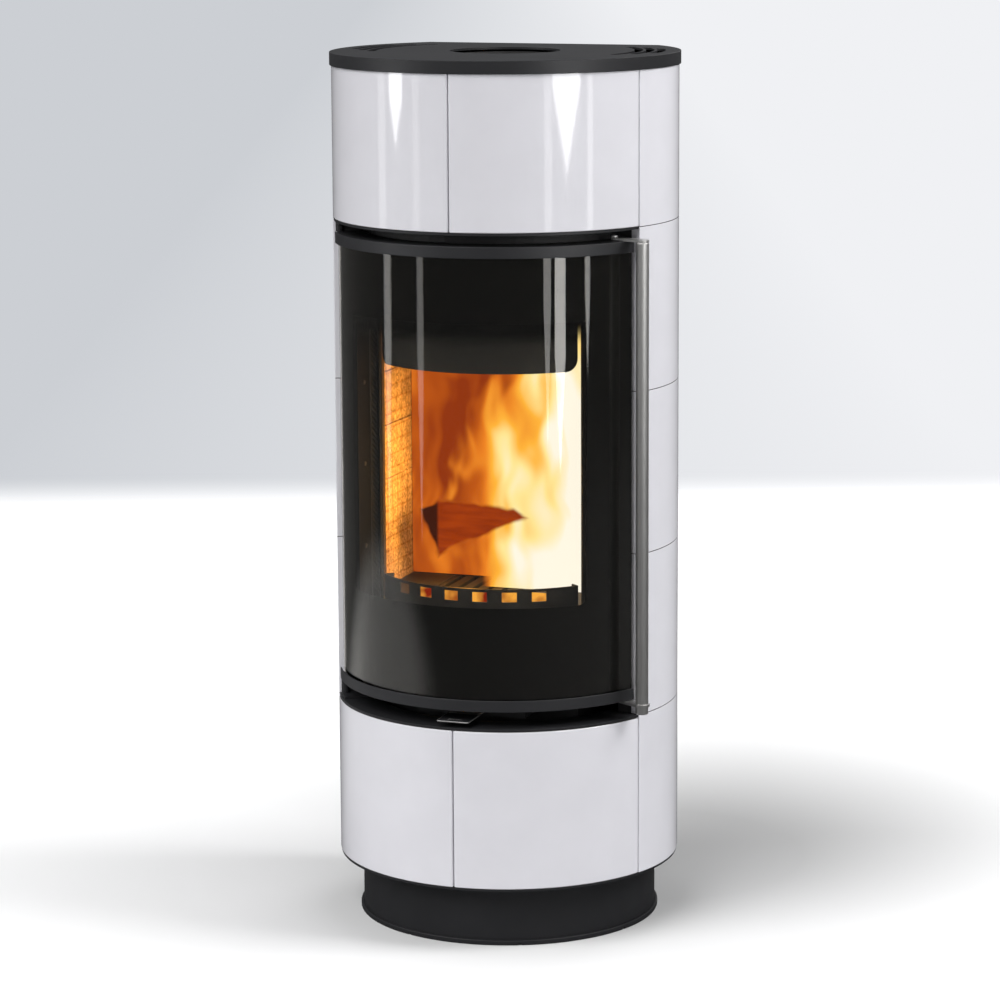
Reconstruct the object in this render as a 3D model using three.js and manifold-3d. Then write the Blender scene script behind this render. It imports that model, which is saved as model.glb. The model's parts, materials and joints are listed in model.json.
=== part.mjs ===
// Tiled wood stove: a round column with a flat back. Millimetres, +Z up, front towards -Y.
// The origin lies at floor level on the axis of the column.
import * as THREE from 'three';
import { mergeVertices } from 'three/addons/utils/BufferGeometryUtils.js';
import Module from 'manifold-3d';

const wasm = await Module();
wasm.setup();

// ---- Driving dimensions ----
const seat = 0.3;               // gap between faces that rest on each other
const shellGap = 0.5;           // gap between concentric shells
const sheet = 2;                // folded sheet steel
const plate = 3;                // plate steel
const arcStep = 7.5;            // degrees per facet on round walls

// Glazed tiles
const tileRadius = 245;         // face of the tiles
const tileThickness = 15;
const tileHeight = 229.2;
const tileRings = 5;
const tileEdge = 2.5;           // rounded glazed edge
const tileJoint = 1.5;          // vertical joint between two tiles
const bayAngle = 67;            // half of the door bay, degrees from the front
const tileBackY = 168.5;        // flat back of the column

// Plinth
const plinthHeight = 86;
const plinthStep = 33;          // from the tile face in to the plinth wall
const plinthBackStep = 18.5;
const lipOverhang = 4.3;        // base lip outside the plinth wall
const lipHeight = 7;
const lipNotch = 5;             // relief notches round the base lip
const lipNotches = 6;
const ductRadius = 40;          // outside of the combustion air duct
const ductY = 65;

// Casing and top plate
const casingGap = 30.5;         // convection air between side shell and firebox
const rearGap = 38.5;           // from the firebox back to the flat back of the column
const topOverhang = 2.5;
const topBackOverhang = 7.5;
const topRim = 18;              // height of the rolled rim
const topEase = 1;              // rounded edge of the rim
const flueRadius = 75;          // inside of the flue collar, for a 150 mm pipe
const collarWall = 2.3;
const collarDrop = 6;           // rim of the collar below the top plate
const collarFlange = 18;
const slotHalfSpans = [30, 22, 14];
const slotWidth = 12;
const slotBridge = 4;           // metal left between two grille slots
const slotEdge = 3.5;           // from the side shell in to the outer slot
const slotAzimuth = 100;

// Door
const doorStep = 2;             // door bands behind the tile face
const doorDepth = 39.5;         // from the face of the bands to the back frame
const doorGapAngle = 2;         // between the door and the side tile, degrees
const doorFootGap = 24.2;       // sill to door
const doorHeadGap = 15.3;       // door to upper carrier
const bandHeight = 16;
const glassInset = 4.5;
const glassThickness = 4;
const cheekGap = 3;             // from the glass in to the side walls of the frame
const windowMargin = 13;        // side frame beside the window, degrees
const windowRaise = 123;        // door bottom to window
const windowDrop = 84;          // window to door top
const clampHeight = 14;
const clampMargins = [4, 3];    // bare ends of the glass clamps, degrees
const sealWidth = 10;
const sealThickness = 8.9;
const sealRoom = 10.5;          // from the front plate to the door's back frame
const sealOverlap = 4;          // seal outside the opening, above and below
const hingeInset = 7;
const hingeEnd = 0.5;           // pin from the end of the door, degrees
const hingePinRadius = 3;
const pinClearance = 0.4;
const bossRadius = 6;
const bracketSpan = 7;          // degrees of arc that the bracket's foot covers
const bracketEnd = 1;

// Handle, latch shaft and catches
const handleStandoff = 25;      // from the door face to the centre of the bar
const handleTurn = 0.6;         // bar beside the shaft, degrees
const barRadius = 9;
const barTail = 11;             // bar below the lower arm
const barEase = 1.5;
const latchStandoff = 13.5;     // from the door's back frame to the shaft centre
const latchEnd = 3;             // shaft from the end of the door, degrees
const shaftRadius = 4;
const armThickness = 3.5;
const armEdge = 1;              // metal round the shaft
const pivotScrewRadius = 4.6;
const pivotScrewHead = 2.4;
const armEye = 2;               // metal round the bar
const latchRaise = 87;          // lower finger above the door bottom
const latchDrop = 109;          // upper finger below the door top
const fingerReach = 15;
const fingerWidth = 6;
const fingerRoom = 22;
const studRadius = 4;
const studHalfHeight = 12;
const studWeb = 4;
const studClearance = 0.35;

// Firebox
const openingMargin = 0.5;      // opening narrower than the window, degrees
const fireboxFrontY = -70;
const fireboxRaise = 47.2;      // sill to firebox
const flueSpace = 127.1;        // firebox top to top plate
const cornerCut = 32;
const cornerInset = 0.4;        // part of the wall that the inner corner gives up
const frontPlateLap = 18;       // front plate below the firebox floor
const liningThickness = 25;
const liningFrontY = -55;
const liningHeight = 390;
const liningRearGap = 8;
const backLiningGap = 6;
const brickLength = 110;
const brickHeight = 78;
const jointWidth = 3;
const jointDepth = 2;
const hearthRaise = 104;        // firebox floor to hearth
const hearthThickness = 14;
const hearthFrontGap = 7.3;     // hearth behind the log retainer
const hearthFrontAngle = 42.3;
const baffleFrontY = -35;
const baffleEdge = 2;
const upperBaffleDrop = 125;
const upperBaffleDepth = 150;
const grateSize = [200, 150];
const grateThickness = 8;
const grateBars = 9;
const grateY = -5;
const barGap = 8;
const ledge = 5;
const shieldGap = 16;           // firebox back to heat shield
const shieldHalfWidth = 120;
const standoffX = 96;
const standoffWidth = 20;

// Ash pan
const panHalfWidth = 112;
const panHeight = 76;
const panFrontGap = 0.5;
const panRearGap = 16.5;

// Log retainer and airwash deflector
const retainerMargin = 1.5;     // retainer inside the opening, degrees
const retainerHeight = 35;
const retainerFold = 12;
const retainerSlots = 6;
const retainerPitch = 12.8;     // degrees between two air holes
const retainerRail = 4;         // metal left over the air holes
const retainerSlotWidth = 21;
const retainerSlotHeight = 14;
const deflectorHeight = 107.5;
const deflectorLap = 10;        // deflector above the window
const deflectorCorner = 18;
const cheekLap = 60;            // cheek strips above the deflector's lower edge

// Frame of the casing
const carrierHoleRadius = 150;
const carrierHoleBackY = 112.5;
const clipWidth = 20;
const clipHeight = 12;
const clipInset = 8;            // from the tile joint to the clip
const lintelDrop = 6;
const flangeGap = 2.5;          // side flange outside the door's back frame
const rearFold = 20;
const rearPanelGap = 2.5;
const rearSlotCount = 9;
const rearSlotPitch = 26;
const rearSlotLength = 60;
const rearSlotHeight = 8;
const ringWidth = 39.5;
const ringBackWidth = 16;
const ringBay = 3;              // bare space between a grille slot and the ring
const ringBayAngle = 2;

// Pedestal, air box and air lever
const pedestalInset = 57;       // pedestal inside the firebox walls
const pedestalFrontStep = 40;
const airBoxHalfWidth = 80;
const airBoxFrontGap = 5.1;
const airBoxRearGap = 7;
const pedestalRearGap = 6;
const leverWidth = 47;
const leverTravel = 50;
const leverRaise = 7.7;         // above the sill
const leverThickness = 2;
const leverGuide = 0.5;
const leverRearY = -47.5;
const leverPocket = 12.5;       // room behind the lever
const valveY = -105;
const valveRadius = 10;
const valveLap = 20;            // valve slot before and behind the hole at rest and pulled out

// ---- Levels and radii worked out from them ----
const carrierZ = plinthHeight + seat;
const firstTileZ = carrierZ + plate + seat;
const tilePitch = tileHeight + seat;
const doorTiles = tileRings - 1;
const tileTop = firstTileZ + tileRings * tilePitch - seat;
const topPlateZ = tileTop + seat;
const totalHeight = topPlateZ + plate;
const sillTop = firstTileZ + tilePitch - seat;
const sillZ = sillTop - plate;
const upperRingZ = firstTileZ + doorTiles * tilePitch;
const upperCarrierZ = upperRingZ - seat - plate;
const doorBottom = sillTop + doorFootGap;
const doorTop = upperCarrierZ - doorHeadGap;
const windowBottom = doorBottom + windowRaise;
const windowTop = doorTop - windowDrop;
const latchHeights = [doorBottom + latchRaise, doorTop - latchDrop];
const fireboxBottom = sillTop + fireboxRaise;
const fireboxTop = topPlateZ - flueSpace;
const hearthTop = fireboxBottom + hearthRaise;
const liningTop = hearthTop + liningHeight;
const upperBaffleZ = fireboxTop - upperBaffleDrop;
const retainerTop = hearthTop + retainerHeight;
const deflectorTop = windowTop + deflectorLap;
const deflectorBottom = deflectorTop - deflectorHeight;
const leverZ = sillTop + leverRaise;
const ashOpeningBottom = fireboxBottom + plate - shellGap;
const frontPlateBottom = fireboxBottom - frontPlateLap;

const tileBackRadius = tileRadius - tileThickness;
const shellRadius = tileBackRadius - shellGap;
const carrierRadius = tileRadius - 1;
const plinthRadius = tileRadius - plinthStep;
const plinthBackY = tileBackY - plinthBackStep;
const lipRadius = plinthRadius + lipOverhang;
const topRadius = tileRadius + topOverhang;
const topBackY = tileBackY + topBackOverhang;
const flueHoleRadius = flueRadius + collarWall + shellGap;
const slotRadii = slotHalfSpans.map((span, i, spans) => (
  shellRadius - slotEdge - slotWidth - (spans.length - 1 - i) * (slotWidth + slotBridge)
));
const doorRadius = tileRadius - doorStep;
const glassRadius = doorRadius - glassInset;
const doorBackRadius = doorRadius - doorDepth;
const doorBackInner = doorBackRadius - sheet;
const frontRadius = doorBackInner - sealRoom;
const flangeRadius = doorBackRadius + flangeGap;
const hingeRadius = doorRadius - hingeInset;
const latchRadius = doorBackRadius + latchStandoff;
const handleRadius = doorRadius + handleStandoff;
const fireboxHalfWidth = shellRadius - sheet - casingGap;
const fireboxBackY = tileBackY - rearGap;

const bayEdge = bayAngle + shellGap;
const doorHalfAngle = bayAngle - doorGapAngle;
const windowHalfAngle = doorHalfAngle - windowMargin;
const openingHalfAngle = windowHalfAngle - openingMargin;
const retainerHalfAngle = openingHalfAngle - retainerMargin;
const hingeAngle = hingeEnd - doorHalfAngle;
const latchAngle = doorHalfAngle - latchEnd;
const handleAngle = latchAngle + handleTurn;

// ---- Shapes and solids ----
const tiny = 1e-3;
const cutPast = 1;              // a cutter runs this far past the face that it cuts
const rad = THREE.MathUtils.degToRad;
const deg = THREE.MathUtils.radToDeg;

// A point in plan: the angle is measured from the front, positive towards +X.
function at(radius, angle) {
  return new THREE.Vector2(radius * Math.sin(rad(angle)), -radius * Math.cos(rad(angle)));
}

// The same point on the faceted wall whose corners stand every arcStep degrees.
function onWall(radius, angle) {
  const half = arcStep / 2;
  const middle = Math.floor(angle / arcStep) * arcStep + half;
  return at(radius * Math.cos(rad(half)) / Math.cos(rad(angle - middle)), angle);
}

// Points along a wall. All walls share one grid of corners, so concentric ones keep their gap.
function arc(radius, from, to) {
  const points = [onWall(radius, from)];
  const sign = Math.sign(to - from);
  const first = from / arcStep + sign * tiny;
  let corner = sign > 0 ? Math.ceil(first) : Math.floor(first);
  while (sign * (to / arcStep - corner) > tiny) {
    points.push(at(radius, corner * arcStep));
    corner += sign;
  }
  points.push(onWall(radius, to));
  return points;
}

function sector(inner, outer, from, to) {
  return new THREE.Shape([...arc(outer, from, to), ...arc(inner, to, from)]);
}

function circle(radius, centre, sides = 24) {
  const points = [];
  for (let i = 0; i < sides; i += 1) {
    const turn = (i + 0.5) * 2 * Math.PI / sides;
    points.push(new THREE.Vector2(centre.x + radius * Math.cos(turn), centre.y + radius * Math.sin(turn)));
  }
  return new THREE.Shape(points);
}

function rectangle(x0, x1, y0, y1) {
  return new THREE.Shape([
    new THREE.Vector2(x0, y0), new THREE.Vector2(x1, y0),
    new THREE.Vector2(x1, y1), new THREE.Vector2(x0, y1),
  ]);
}

// Angle from the front at which a wall meets a plane of constant y, found in a few steps.
function angleAtY(radius, y) {
  let angle = deg(Math.acos(-y / radius));
  for (let step = 0; step < 8; step += 1) {
    angle = deg(Math.acos(-y / onWall(radius, angle).length()));
  }
  return angle;
}

// A disc with a flat back.
function backedDisc(radius, backY) {
  const end = angleAtY(radius, backY);
  return new THREE.Shape(arc(radius, -end, end));
}

function mirrored(points) {
  return points.map((p) => new THREE.Vector2(-p.x, p.y)).reverse();
}

function extrude(shape, z0, z1, bevel = 0, bevelSegments = 1) {
  const geometry = new THREE.ExtrudeGeometry(shape, {
    depth: z1 - z0 - 2 * bevel,
    bevelEnabled: bevel > 0,
    bevelThickness: bevel,
    bevelSize: bevel,
    bevelOffset: -bevel,
    bevelSegments,
    curveSegments: 8,
  });
  geometry.translate(0, 0, z0 + bevel);
  return geometry;
}

function box(x0, x1, y0, y1, z0, z1) {
  const geometry = new THREE.BoxGeometry(x1 - x0, y1 - y0, z1 - z0);
  geometry.translate((x0 + x1) / 2, (y0 + y1) / 2, (z0 + z1) / 2);
  return geometry;
}

// A closed ring or tube about a vertical axis, from (radius, z) corners.
function turned(corners, centre = new THREE.Vector2(0, 0), sides = 48) {
  const closed = [...corners, corners[0]].map(([r, z]) => new THREE.Vector2(r, z));
  const geometry = new THREE.LatheGeometry(closed, sides);
  geometry.rotateX(Math.PI / 2);
  geometry.translate(centre.x, centre.y, 0);
  return geometry;
}

function rod(radius, centre, z0, z1, sides = 16) {
  const geometry = new THREE.CylinderGeometry(radius, radius, z1 - z0, sides);
  geometry.rotateX(Math.PI / 2);
  geometry.translate(centre.x, centre.y, (z0 + z1) / 2);
  return geometry;
}

function solid(source) {
  const bare = source.clone();
  bare.deleteAttribute('normal');
  bare.deleteAttribute('uv');
  const merged = mergeVertices(bare, 1e-4);
  const made = new wasm.Manifold(new wasm.Mesh({
    numProp: 3,
    vertProperties: new Float32Array(merged.attributes.position.array),
    triVerts: new Uint32Array(merged.index.array),
  }));
  return made.volume() < 0 ? made.mirror([1, 0, 0]).mirror([1, 0, 0]) : made;
}

function surface(manifold) {
  const mesh = manifold.getMesh();
  const geometry = new THREE.BufferGeometry();
  geometry.setAttribute('position', new THREE.BufferAttribute(mesh.vertProperties, 3));
  geometry.setIndex(new THREE.BufferAttribute(mesh.triVerts, 1));
  geometry.computeVertexNormals();
  return geometry;
}

function join(...pieces) {
  return surface(pieces.map(solid).reduce((a, b) => a.add(b)));
}

function cut(piece, ...tools) {
  return surface(tools.map(solid).reduce((a, b) => a.subtract(b), solid(piece)));
}

// ---- Finishes ----
function finish(color, roughness, metalness) {
  return new THREE.MeshStandardMaterial({ color, roughness, metalness });
}
const glaze = finish('#e2e1e8', 0.12, 0);
const blackSteel = finish('#2c2c2e', 0.55, 0.2);
const greySteel = finish('#4a4a4c', 0.5, 0.3);
const innerSteel = finish('#3a3a3c', 0.6, 0.4);
const stainless = finish('#9b9a98', 0.3, 1);
const castIron = finish('#333335', 0.75, 0.3);
const vermiculite = finish('#b39a6b', 0.95, 0);
const rope = finish('#3c3c3a', 0.95, 0);
const ceramicGlass = finish('#141416', 0.05, 0);

const stove = new THREE.Group();
stove.name = 'tiled_stove';

function part(name, geometry, material) {
  const mesh = new THREE.Mesh(geometry, material);
  mesh.name = name;
  stove.add(mesh);
}

// ---- Plinth ----
const lipWall = lipRadius - plinthRadius - shellGap;
const ductCentre = new THREE.Vector2(0, ductY);
const notchPitch = 6 * arcStep;
const notches = Array.from({ length: lipNotches }, (unused, i) => {
  const angle = (i - (lipNotches - 1) / 2) * notchPitch;
  const notch = new THREE.BoxGeometry(lipNotch, lipWall, lipHeight);
  notch.rotateZ(rad(angle));
  const place = at(lipRadius, angle);
  notch.translate(place.x, place.y, 0);
  return notch;
});
part('base_plate', cut(
  extrude(backedDisc(lipRadius, plinthBackY + lipWall + shellGap), 0, lipHeight),
  extrude(backedDisc(lipRadius - lipWall, plinthBackY + shellGap), plate, 2 * lipHeight),
  rod(ductRadius - sheet, ductCentre, -plate, 2 * plate, 24),
  ...notches,
), blackSteel);
part('plinth_wall', cut(
  extrude(backedDisc(plinthRadius, plinthBackY), plate + seat, plinthHeight),
  extrude(backedDisc(plinthRadius - sheet, plinthBackY - sheet), 0, 2 * plinthHeight),
), blackSteel);

// ---- Tiles ----
// Plan of a tile: the face side has rounded corners, the back is a plain arc.
const cornerSoftness = 0.3;     // place of the corner's middle point, as a part of the rounded edge
function tilePoints(from, to, backCut) {
  const ease = deg(tileEdge / tileRadius);
  const mid = ease * cornerSoftness;
  const soft = tileEdge * cornerSoftness;
  const start = [onWall(tileRadius - tileEdge, from), onWall(tileRadius - soft, from + mid)];
  if (backCut) {
    const face = angleAtY(tileRadius, tileBackY);
    const back = angleAtY(tileBackRadius, tileBackY);
    return [...start, ...arc(tileRadius, from + ease, face), ...arc(tileBackRadius, back, from)];
  }
  const end = [onWall(tileRadius - soft, to - mid), onWall(tileRadius - tileEdge, to)];
  return [...start, ...arc(tileRadius, from + ease, to - ease), ...end, ...arc(tileBackRadius, to, from)];
}

const halfJoint = deg(tileJoint / 2 / tileRadius);
const frontTile = tilePoints(halfJoint, bayAngle - halfJoint, false);
const sideTile = tilePoints(bayAngle + halfJoint, 180, true);
function addTile(name, points, z0, z1) {
  part(`${name}_right`, extrude(new THREE.Shape(points), z0, z1, tileEdge / 2), glaze);
  part(`${name}_left`, extrude(new THREE.Shape(mirrored(points)), z0, z1, tileEdge / 2), glaze);
}
for (let ring = 0; ring < tileRings; ring += 1) {
  const z0 = firstTileZ + ring * tilePitch;
  addTile(`tile_side_${ring + 1}`, sideTile, z0, z0 + tileHeight);
}
addTile('tile_front_lower', frontTile, firstTileZ, sillZ - seat);
addTile('tile_front_upper', frontTile, upperRingZ, tileTop);

// ---- Frame that carries the tiles ----
part('lower_tile_carrier', cut(
  extrude(backedDisc(carrierRadius, tileBackY), carrierZ, carrierZ + plate),
  extrude(backedDisc(carrierHoleRadius, carrierHoleBackY), 0, totalHeight),
), blackSteel);

const carrierInner = frontRadius + 3 * shellGap;
// Two small clips behind the tile joint keep the front tiles in line.
function clips(z0, z1) {
  return [-1, 1].map((side) => {
    const near = deg(clipInset / tileBackRadius);
    const far = deg((clipInset + clipWidth) / tileBackRadius);
    const from = side > 0 ? near : -far;
    const to = side > 0 ? far : -near;
    return extrude(sector(tileBackRadius - shellGap - sheet, tileBackRadius - shellGap, from, to), z0, z1);
  });
}
part('sill_plate', join(
  extrude(sector(carrierInner, carrierRadius, -bayAngle, bayAngle), sillZ, sillTop),
  ...clips(sillZ - clipHeight, sillTop),
), blackSteel);
part('upper_tile_carrier', join(
  extrude(sector(carrierInner, carrierRadius, -bayAngle, bayAngle), upperCarrierZ, upperCarrierZ + plate),
  extrude(sector(doorBackRadius - plate, doorBackRadius, -bayAngle, bayAngle),
    upperCarrierZ - lintelDrop, upperCarrierZ + plate),
  ...clips(upperCarrierZ, upperRingZ + clipHeight),
), blackSteel);

const shellBackY = tileBackY - sheet - seat;
const rearFoldX = onWall(shellRadius, angleAtY(shellRadius, shellBackY)).x - rearFold;
// Plan of a side shell: front flange, curved wall, and a fold along the flat back.
function shellPoints() {
  const flangeOuter = deg(sheet / flangeRadius);
  const flangeWall = deg(sheet / shellRadius);
  return [
    at(flangeRadius, bayEdge),
    ...arc(shellRadius, bayEdge, angleAtY(shellRadius, shellBackY)),
    new THREE.Vector2(rearFoldX, shellBackY),
    new THREE.Vector2(rearFoldX, shellBackY - sheet),
    ...arc(shellRadius - sheet, angleAtY(shellRadius - sheet, shellBackY - sheet), bayEdge + flangeWall),
    at(flangeRadius, bayEdge + flangeOuter),
  ];
}
const shellTop = tileTop - plate - seat;
part('side_shell_right', extrude(new THREE.Shape(shellPoints()), firstTileZ, shellTop), innerSteel);
part('side_shell_left', extrude(new THREE.Shape(mirrored(shellPoints())), firstTileZ, shellTop), innerSteel);

const rearHalfWidth = onWall(tileBackRadius, angleAtY(tileBackRadius, tileBackY)).x - rearPanelGap;
const rearSlots = [];
for (let row = 0; row < rearSlotCount; row += 1) {
  for (const side of [-1, 1]) {
    const x = side * rearHalfWidth / 2;
    const z = upperCarrierZ + row * rearSlotPitch;
    const half = rearSlotLength / 2;
    rearSlots.push(box(x - half, x + half, 0, tileBackY + plate, z, z + rearSlotHeight));
  }
}
part('rear_panel', cut(
  box(-rearHalfWidth, rearHalfWidth, tileBackY - sheet, tileBackY, firstTileZ, shellTop),
  ...rearSlots,
), innerSteel);

const ringInner = shellRadius - ringWidth;
const ringBaySpan = slotHalfSpans[0] + ringBayAngle;
part('top_frame_ring', cut(
  extrude(backedDisc(shellRadius, tileBackY), shellTop + seat, tileTop),
  extrude(backedDisc(ringInner, tileBackY - ringBackWidth), 0, 2 * totalHeight),
  ...[-1, 1].map((side) => extrude(sector(ringInner - ringBay, slotRadii.at(-1) + slotWidth + ringBay / 4,
    side * slotAzimuth - ringBaySpan, side * slotAzimuth + ringBaySpan), 0, 2 * totalHeight)),
), innerSteel);

// ---- Top plate with its nested grille slots ----
function slotCutter(radius, halfSpan, side) {
  const middle = side * slotAzimuth;
  const end = deg(slotWidth / 2 / (radius + slotWidth / 2));
  const from = middle - halfSpan + end;
  const to = middle + halfSpan - end;
  const centreline = radius + slotWidth / 2;
  return [
    extrude(sector(radius, radius + slotWidth, from, to), 0, 2 * totalHeight),
    rod(slotWidth / 2, at(centreline, from), 0, 2 * totalHeight, 12),
    rod(slotWidth / 2, at(centreline, to), 0, 2 * totalHeight, 12),
  ];
}
const slotCutters = [];
slotRadii.forEach((radius, i) => {
  for (const side of [-1, 1]) {
    slotCutters.push(...slotCutter(radius, slotHalfSpans[i], side));
  }
});
const rimWall = topRadius - tileRadius - shellGap;
part('top_plate', cut(
  extrude(backedDisc(topRadius, topBackY), totalHeight - topRim, totalHeight, topEase),
  extrude(backedDisc(topRadius - rimWall, topBackY - rimWall), 0, topPlateZ),
  extrude(circle(flueHoleRadius, new THREE.Vector2(0, 0), 40), 0, 2 * totalHeight),
  ...slotCutters,
), blackSteel);

// ---- Firebox ----
function fireboxPlan(inset) {
  const x = fireboxHalfWidth - inset;
  const back = fireboxBackY - inset;
  const corner = cornerCut - inset * cornerInset;
  return new THREE.Shape([
    new THREE.Vector2(-x, fireboxFrontY), new THREE.Vector2(x, fireboxFrontY),
    new THREE.Vector2(x, back - corner), new THREE.Vector2(x - corner, back),
    new THREE.Vector2(corner - x, back), new THREE.Vector2(-x, back - corner),
  ]);
}
const fireboxInside = extrude(fireboxPlan(plate), fireboxBottom + plate, fireboxTop - plate);
fireboxInside.translate(0, -plate, 0);
const axisPoint = new THREE.Vector2(0, 0);
part('firebox_shell', cut(
  extrude(fireboxPlan(0), fireboxBottom, fireboxTop),
  fireboxInside,
  extrude(fireboxPlan(plate), fireboxBottom + plate, fireboxTop - plate),
  rod(flueRadius, axisPoint, fireboxTop - 2 * plate, fireboxTop + plate, 40),
  box(-airBoxHalfWidth / 2, airBoxHalfWidth / 2, 0, ductY, 0, fireboxBottom + 2 * plate),
), innerSteel);

// The front plate curves round the opening and turns out flat to the side walls.
const frontInnerEnd = angleAtY(frontRadius - plate, fireboxFrontY - seat);
const frontPlan = new THREE.Shape([
  new THREE.Vector2(-fireboxHalfWidth, fireboxFrontY - seat),
  new THREE.Vector2(-fireboxHalfWidth, fireboxFrontY - seat - plate),
  ...arc(frontRadius, -angleAtY(frontRadius, fireboxFrontY - seat - plate),
    angleAtY(frontRadius, fireboxFrontY - seat - plate)),
  new THREE.Vector2(fireboxHalfWidth, fireboxFrontY - seat - plate),
  new THREE.Vector2(fireboxHalfWidth, fireboxFrontY - seat),
  ...arc(frontRadius - plate, frontInnerEnd, -frontInnerEnd),
]);
const openingCutter = extrude(
  sector(frontRadius - 4 * plate, frontRadius + plate, -openingHalfAngle, openingHalfAngle),
  ashOpeningBottom, windowTop,
);
part('firebox_front', cut(extrude(frontPlan, frontPlateBottom, fireboxTop), openingCutter), innerSteel);

part('flue_collar', turned([
  [flueRadius, fireboxTop + seat],
  [flueRadius + collarFlange, fireboxTop + seat],
  [flueRadius + collarFlange, fireboxTop + seat + plate],
  [flueHoleRadius - shellGap, fireboxTop + seat + plate],
  [flueHoleRadius - shellGap, totalHeight - collarDrop],
  [flueRadius, totalHeight - collarDrop],
], axisPoint, 40), castIron);

const shieldY = fireboxBackY + shieldGap;
part('rear_heat_shield', join(
  box(-shieldHalfWidth, shieldHalfWidth, shieldY, shieldY + sheet, fireboxBottom, fireboxTop),
  ...[-1, 1].map((side) => box(
    side * standoffX - standoffWidth / 2, side * standoffX + standoffWidth / 2,
    fireboxBackY + seat, shieldY + sheet, fireboxBottom, fireboxTop,
  )),
), innerSteel);

// ---- Lining, hearth and baffles ----
const wallX = fireboxHalfWidth - plate - shellGap;
const liningX = wallX - liningThickness;
const liningBackY = fireboxBackY - plate - shellGap;
const liningBottom = fireboxBottom + plate + seat;
// Grooves of the brick pattern on the face of a side lining plate.
function sideGrooves(side) {
  const grooves = [];
  const face = side * liningX;
  for (let z = hearthTop + brickHeight; z < liningTop - brickHeight / 2; z += brickHeight) {
    grooves.push(box(face - jointDepth, face + jointDepth, liningFrontY - cutPast, liningBackY,
      z, z + jointWidth));
  }
  return grooves;
}
const sideLiningBackY = liningBackY - liningThickness - seat - liningRearGap;
for (const [name, side] of [['left', -1], ['right', 1]]) {
  const near = Math.min(side * liningX, side * wallX);
  const far = Math.max(side * liningX, side * wallX);
  part(`lining_${name}`, cut(
    box(near, far, liningFrontY, sideLiningBackY, liningBottom, liningTop),
    ...sideGrooves(side),
  ), vermiculite);
}
const backLiningX = fireboxHalfWidth - cornerCut - backLiningGap;
const backFaceY = liningBackY - liningThickness;
const backGrooves = [];
for (let z = hearthTop + brickHeight; z < liningTop - brickHeight / 2; z += brickHeight) {
  backGrooves.push(box(-backLiningX - cutPast, backLiningX + cutPast, backFaceY - jointDepth,
    backFaceY + jointDepth, z, z + jointWidth));
}
for (let x = brickLength / 2 - 2 * brickLength; x < backLiningX; x += brickLength) {
  backGrooves.push(box(x, x + jointWidth, backFaceY - jointDepth, backFaceY + jointDepth,
    hearthTop, liningTop + cutPast));
}
part('lining_back', cut(
  box(-backLiningX, backLiningX, backFaceY, liningBackY, liningBottom, liningTop),
  ...backGrooves,
), vermiculite);

const hearthZ = hearthTop - hearthThickness;
const hearthFront = at(frontRadius - plate - seat - sheet - hearthFrontGap, hearthFrontAngle);
const hearthX = liningX - seat;
const [grateX, grateDepth] = grateSize.map((size) => size / 2);
const hearthPlan = new THREE.Shape([
  new THREE.Vector2(-hearthX, liningFrontY), new THREE.Vector2(-hearthFront.x, hearthFront.y),
  hearthFront, new THREE.Vector2(hearthX, liningFrontY),
  new THREE.Vector2(hearthX, sideLiningBackY), new THREE.Vector2(-hearthX, sideLiningBackY),
]);
part('hearth_plate', cut(
  extrude(hearthPlan, hearthZ, hearthTop),
  box(-grateX, grateX, grateY - grateDepth, grateY + grateDepth, hearthZ + ledge - seat, hearthTop + cutPast),
  box(ledge - grateX, grateX - ledge, grateY - grateDepth + ledge, grateY + grateDepth - ledge,
    hearthZ - cutPast, hearthTop),
), castIron);
const barPitch = 2 * (grateX - seat) / grateBars;
const grateSlots = [];
for (let i = 0; i < grateBars; i += 1) {
  const x = seat - grateX + (i + 0.5) * barPitch;
  grateSlots.push(box(x - barGap / 2, x + barGap / 2, grateY - grateDepth + 2 * ledge,
    grateY + grateDepth - 2 * ledge, hearthZ, hearthTop + cutPast));
}
const grateZ = hearthZ + ledge;
part('grate', cut(
  box(seat - grateX, grateX - seat, grateY - grateDepth + seat, grateY + grateDepth - seat,
    grateZ, grateZ + grateThickness),
  ...grateSlots,
), castIron);

// The lower baffle lies on the linings and leaves the smoke a way up at the front, the upper one at the back.
const baffleX = liningX + liningThickness / 4;
const baffleBackY = liningBackY - liningThickness / 2;
part('lower_baffle', extrude(rectangle(-baffleX, baffleX, baffleFrontY, baffleBackY),
  liningTop + seat, liningTop + seat + liningThickness, baffleEdge), vermiculite);
part('upper_baffle', extrude(rectangle(-wallX, wallX, fireboxFrontY + seat, fireboxFrontY + upperBaffleDepth),
  upperBaffleZ, upperBaffleZ + liningThickness, baffleEdge), vermiculite);

// Cheek strips close the space between the front plate and the side linings.
const cheekTop = deflectorBottom + cheekLap;
for (const [name, side] of [['left', -1], ['right', 1]]) {
  const front = at(frontRadius - plate - shellGap, side * (openingHalfAngle + retainerMargin));
  const rear = new THREE.Vector2(side * (liningX - seat), liningFrontY - seat);
  const along = rear.clone().sub(front).normalize();
  const across = new THREE.Vector2(-along.y, along.x).multiplyScalar(side * sheet);
  const outline = [front, rear, rear.clone().add(across), front.clone().add(across)];
  const turnedOutline = side > 0 ? outline : outline.reverse();
  part(`cheek_${name}`, extrude(new THREE.Shape(turnedOutline), hearthTop + seat, cheekTop), innerSteel);
}

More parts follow.
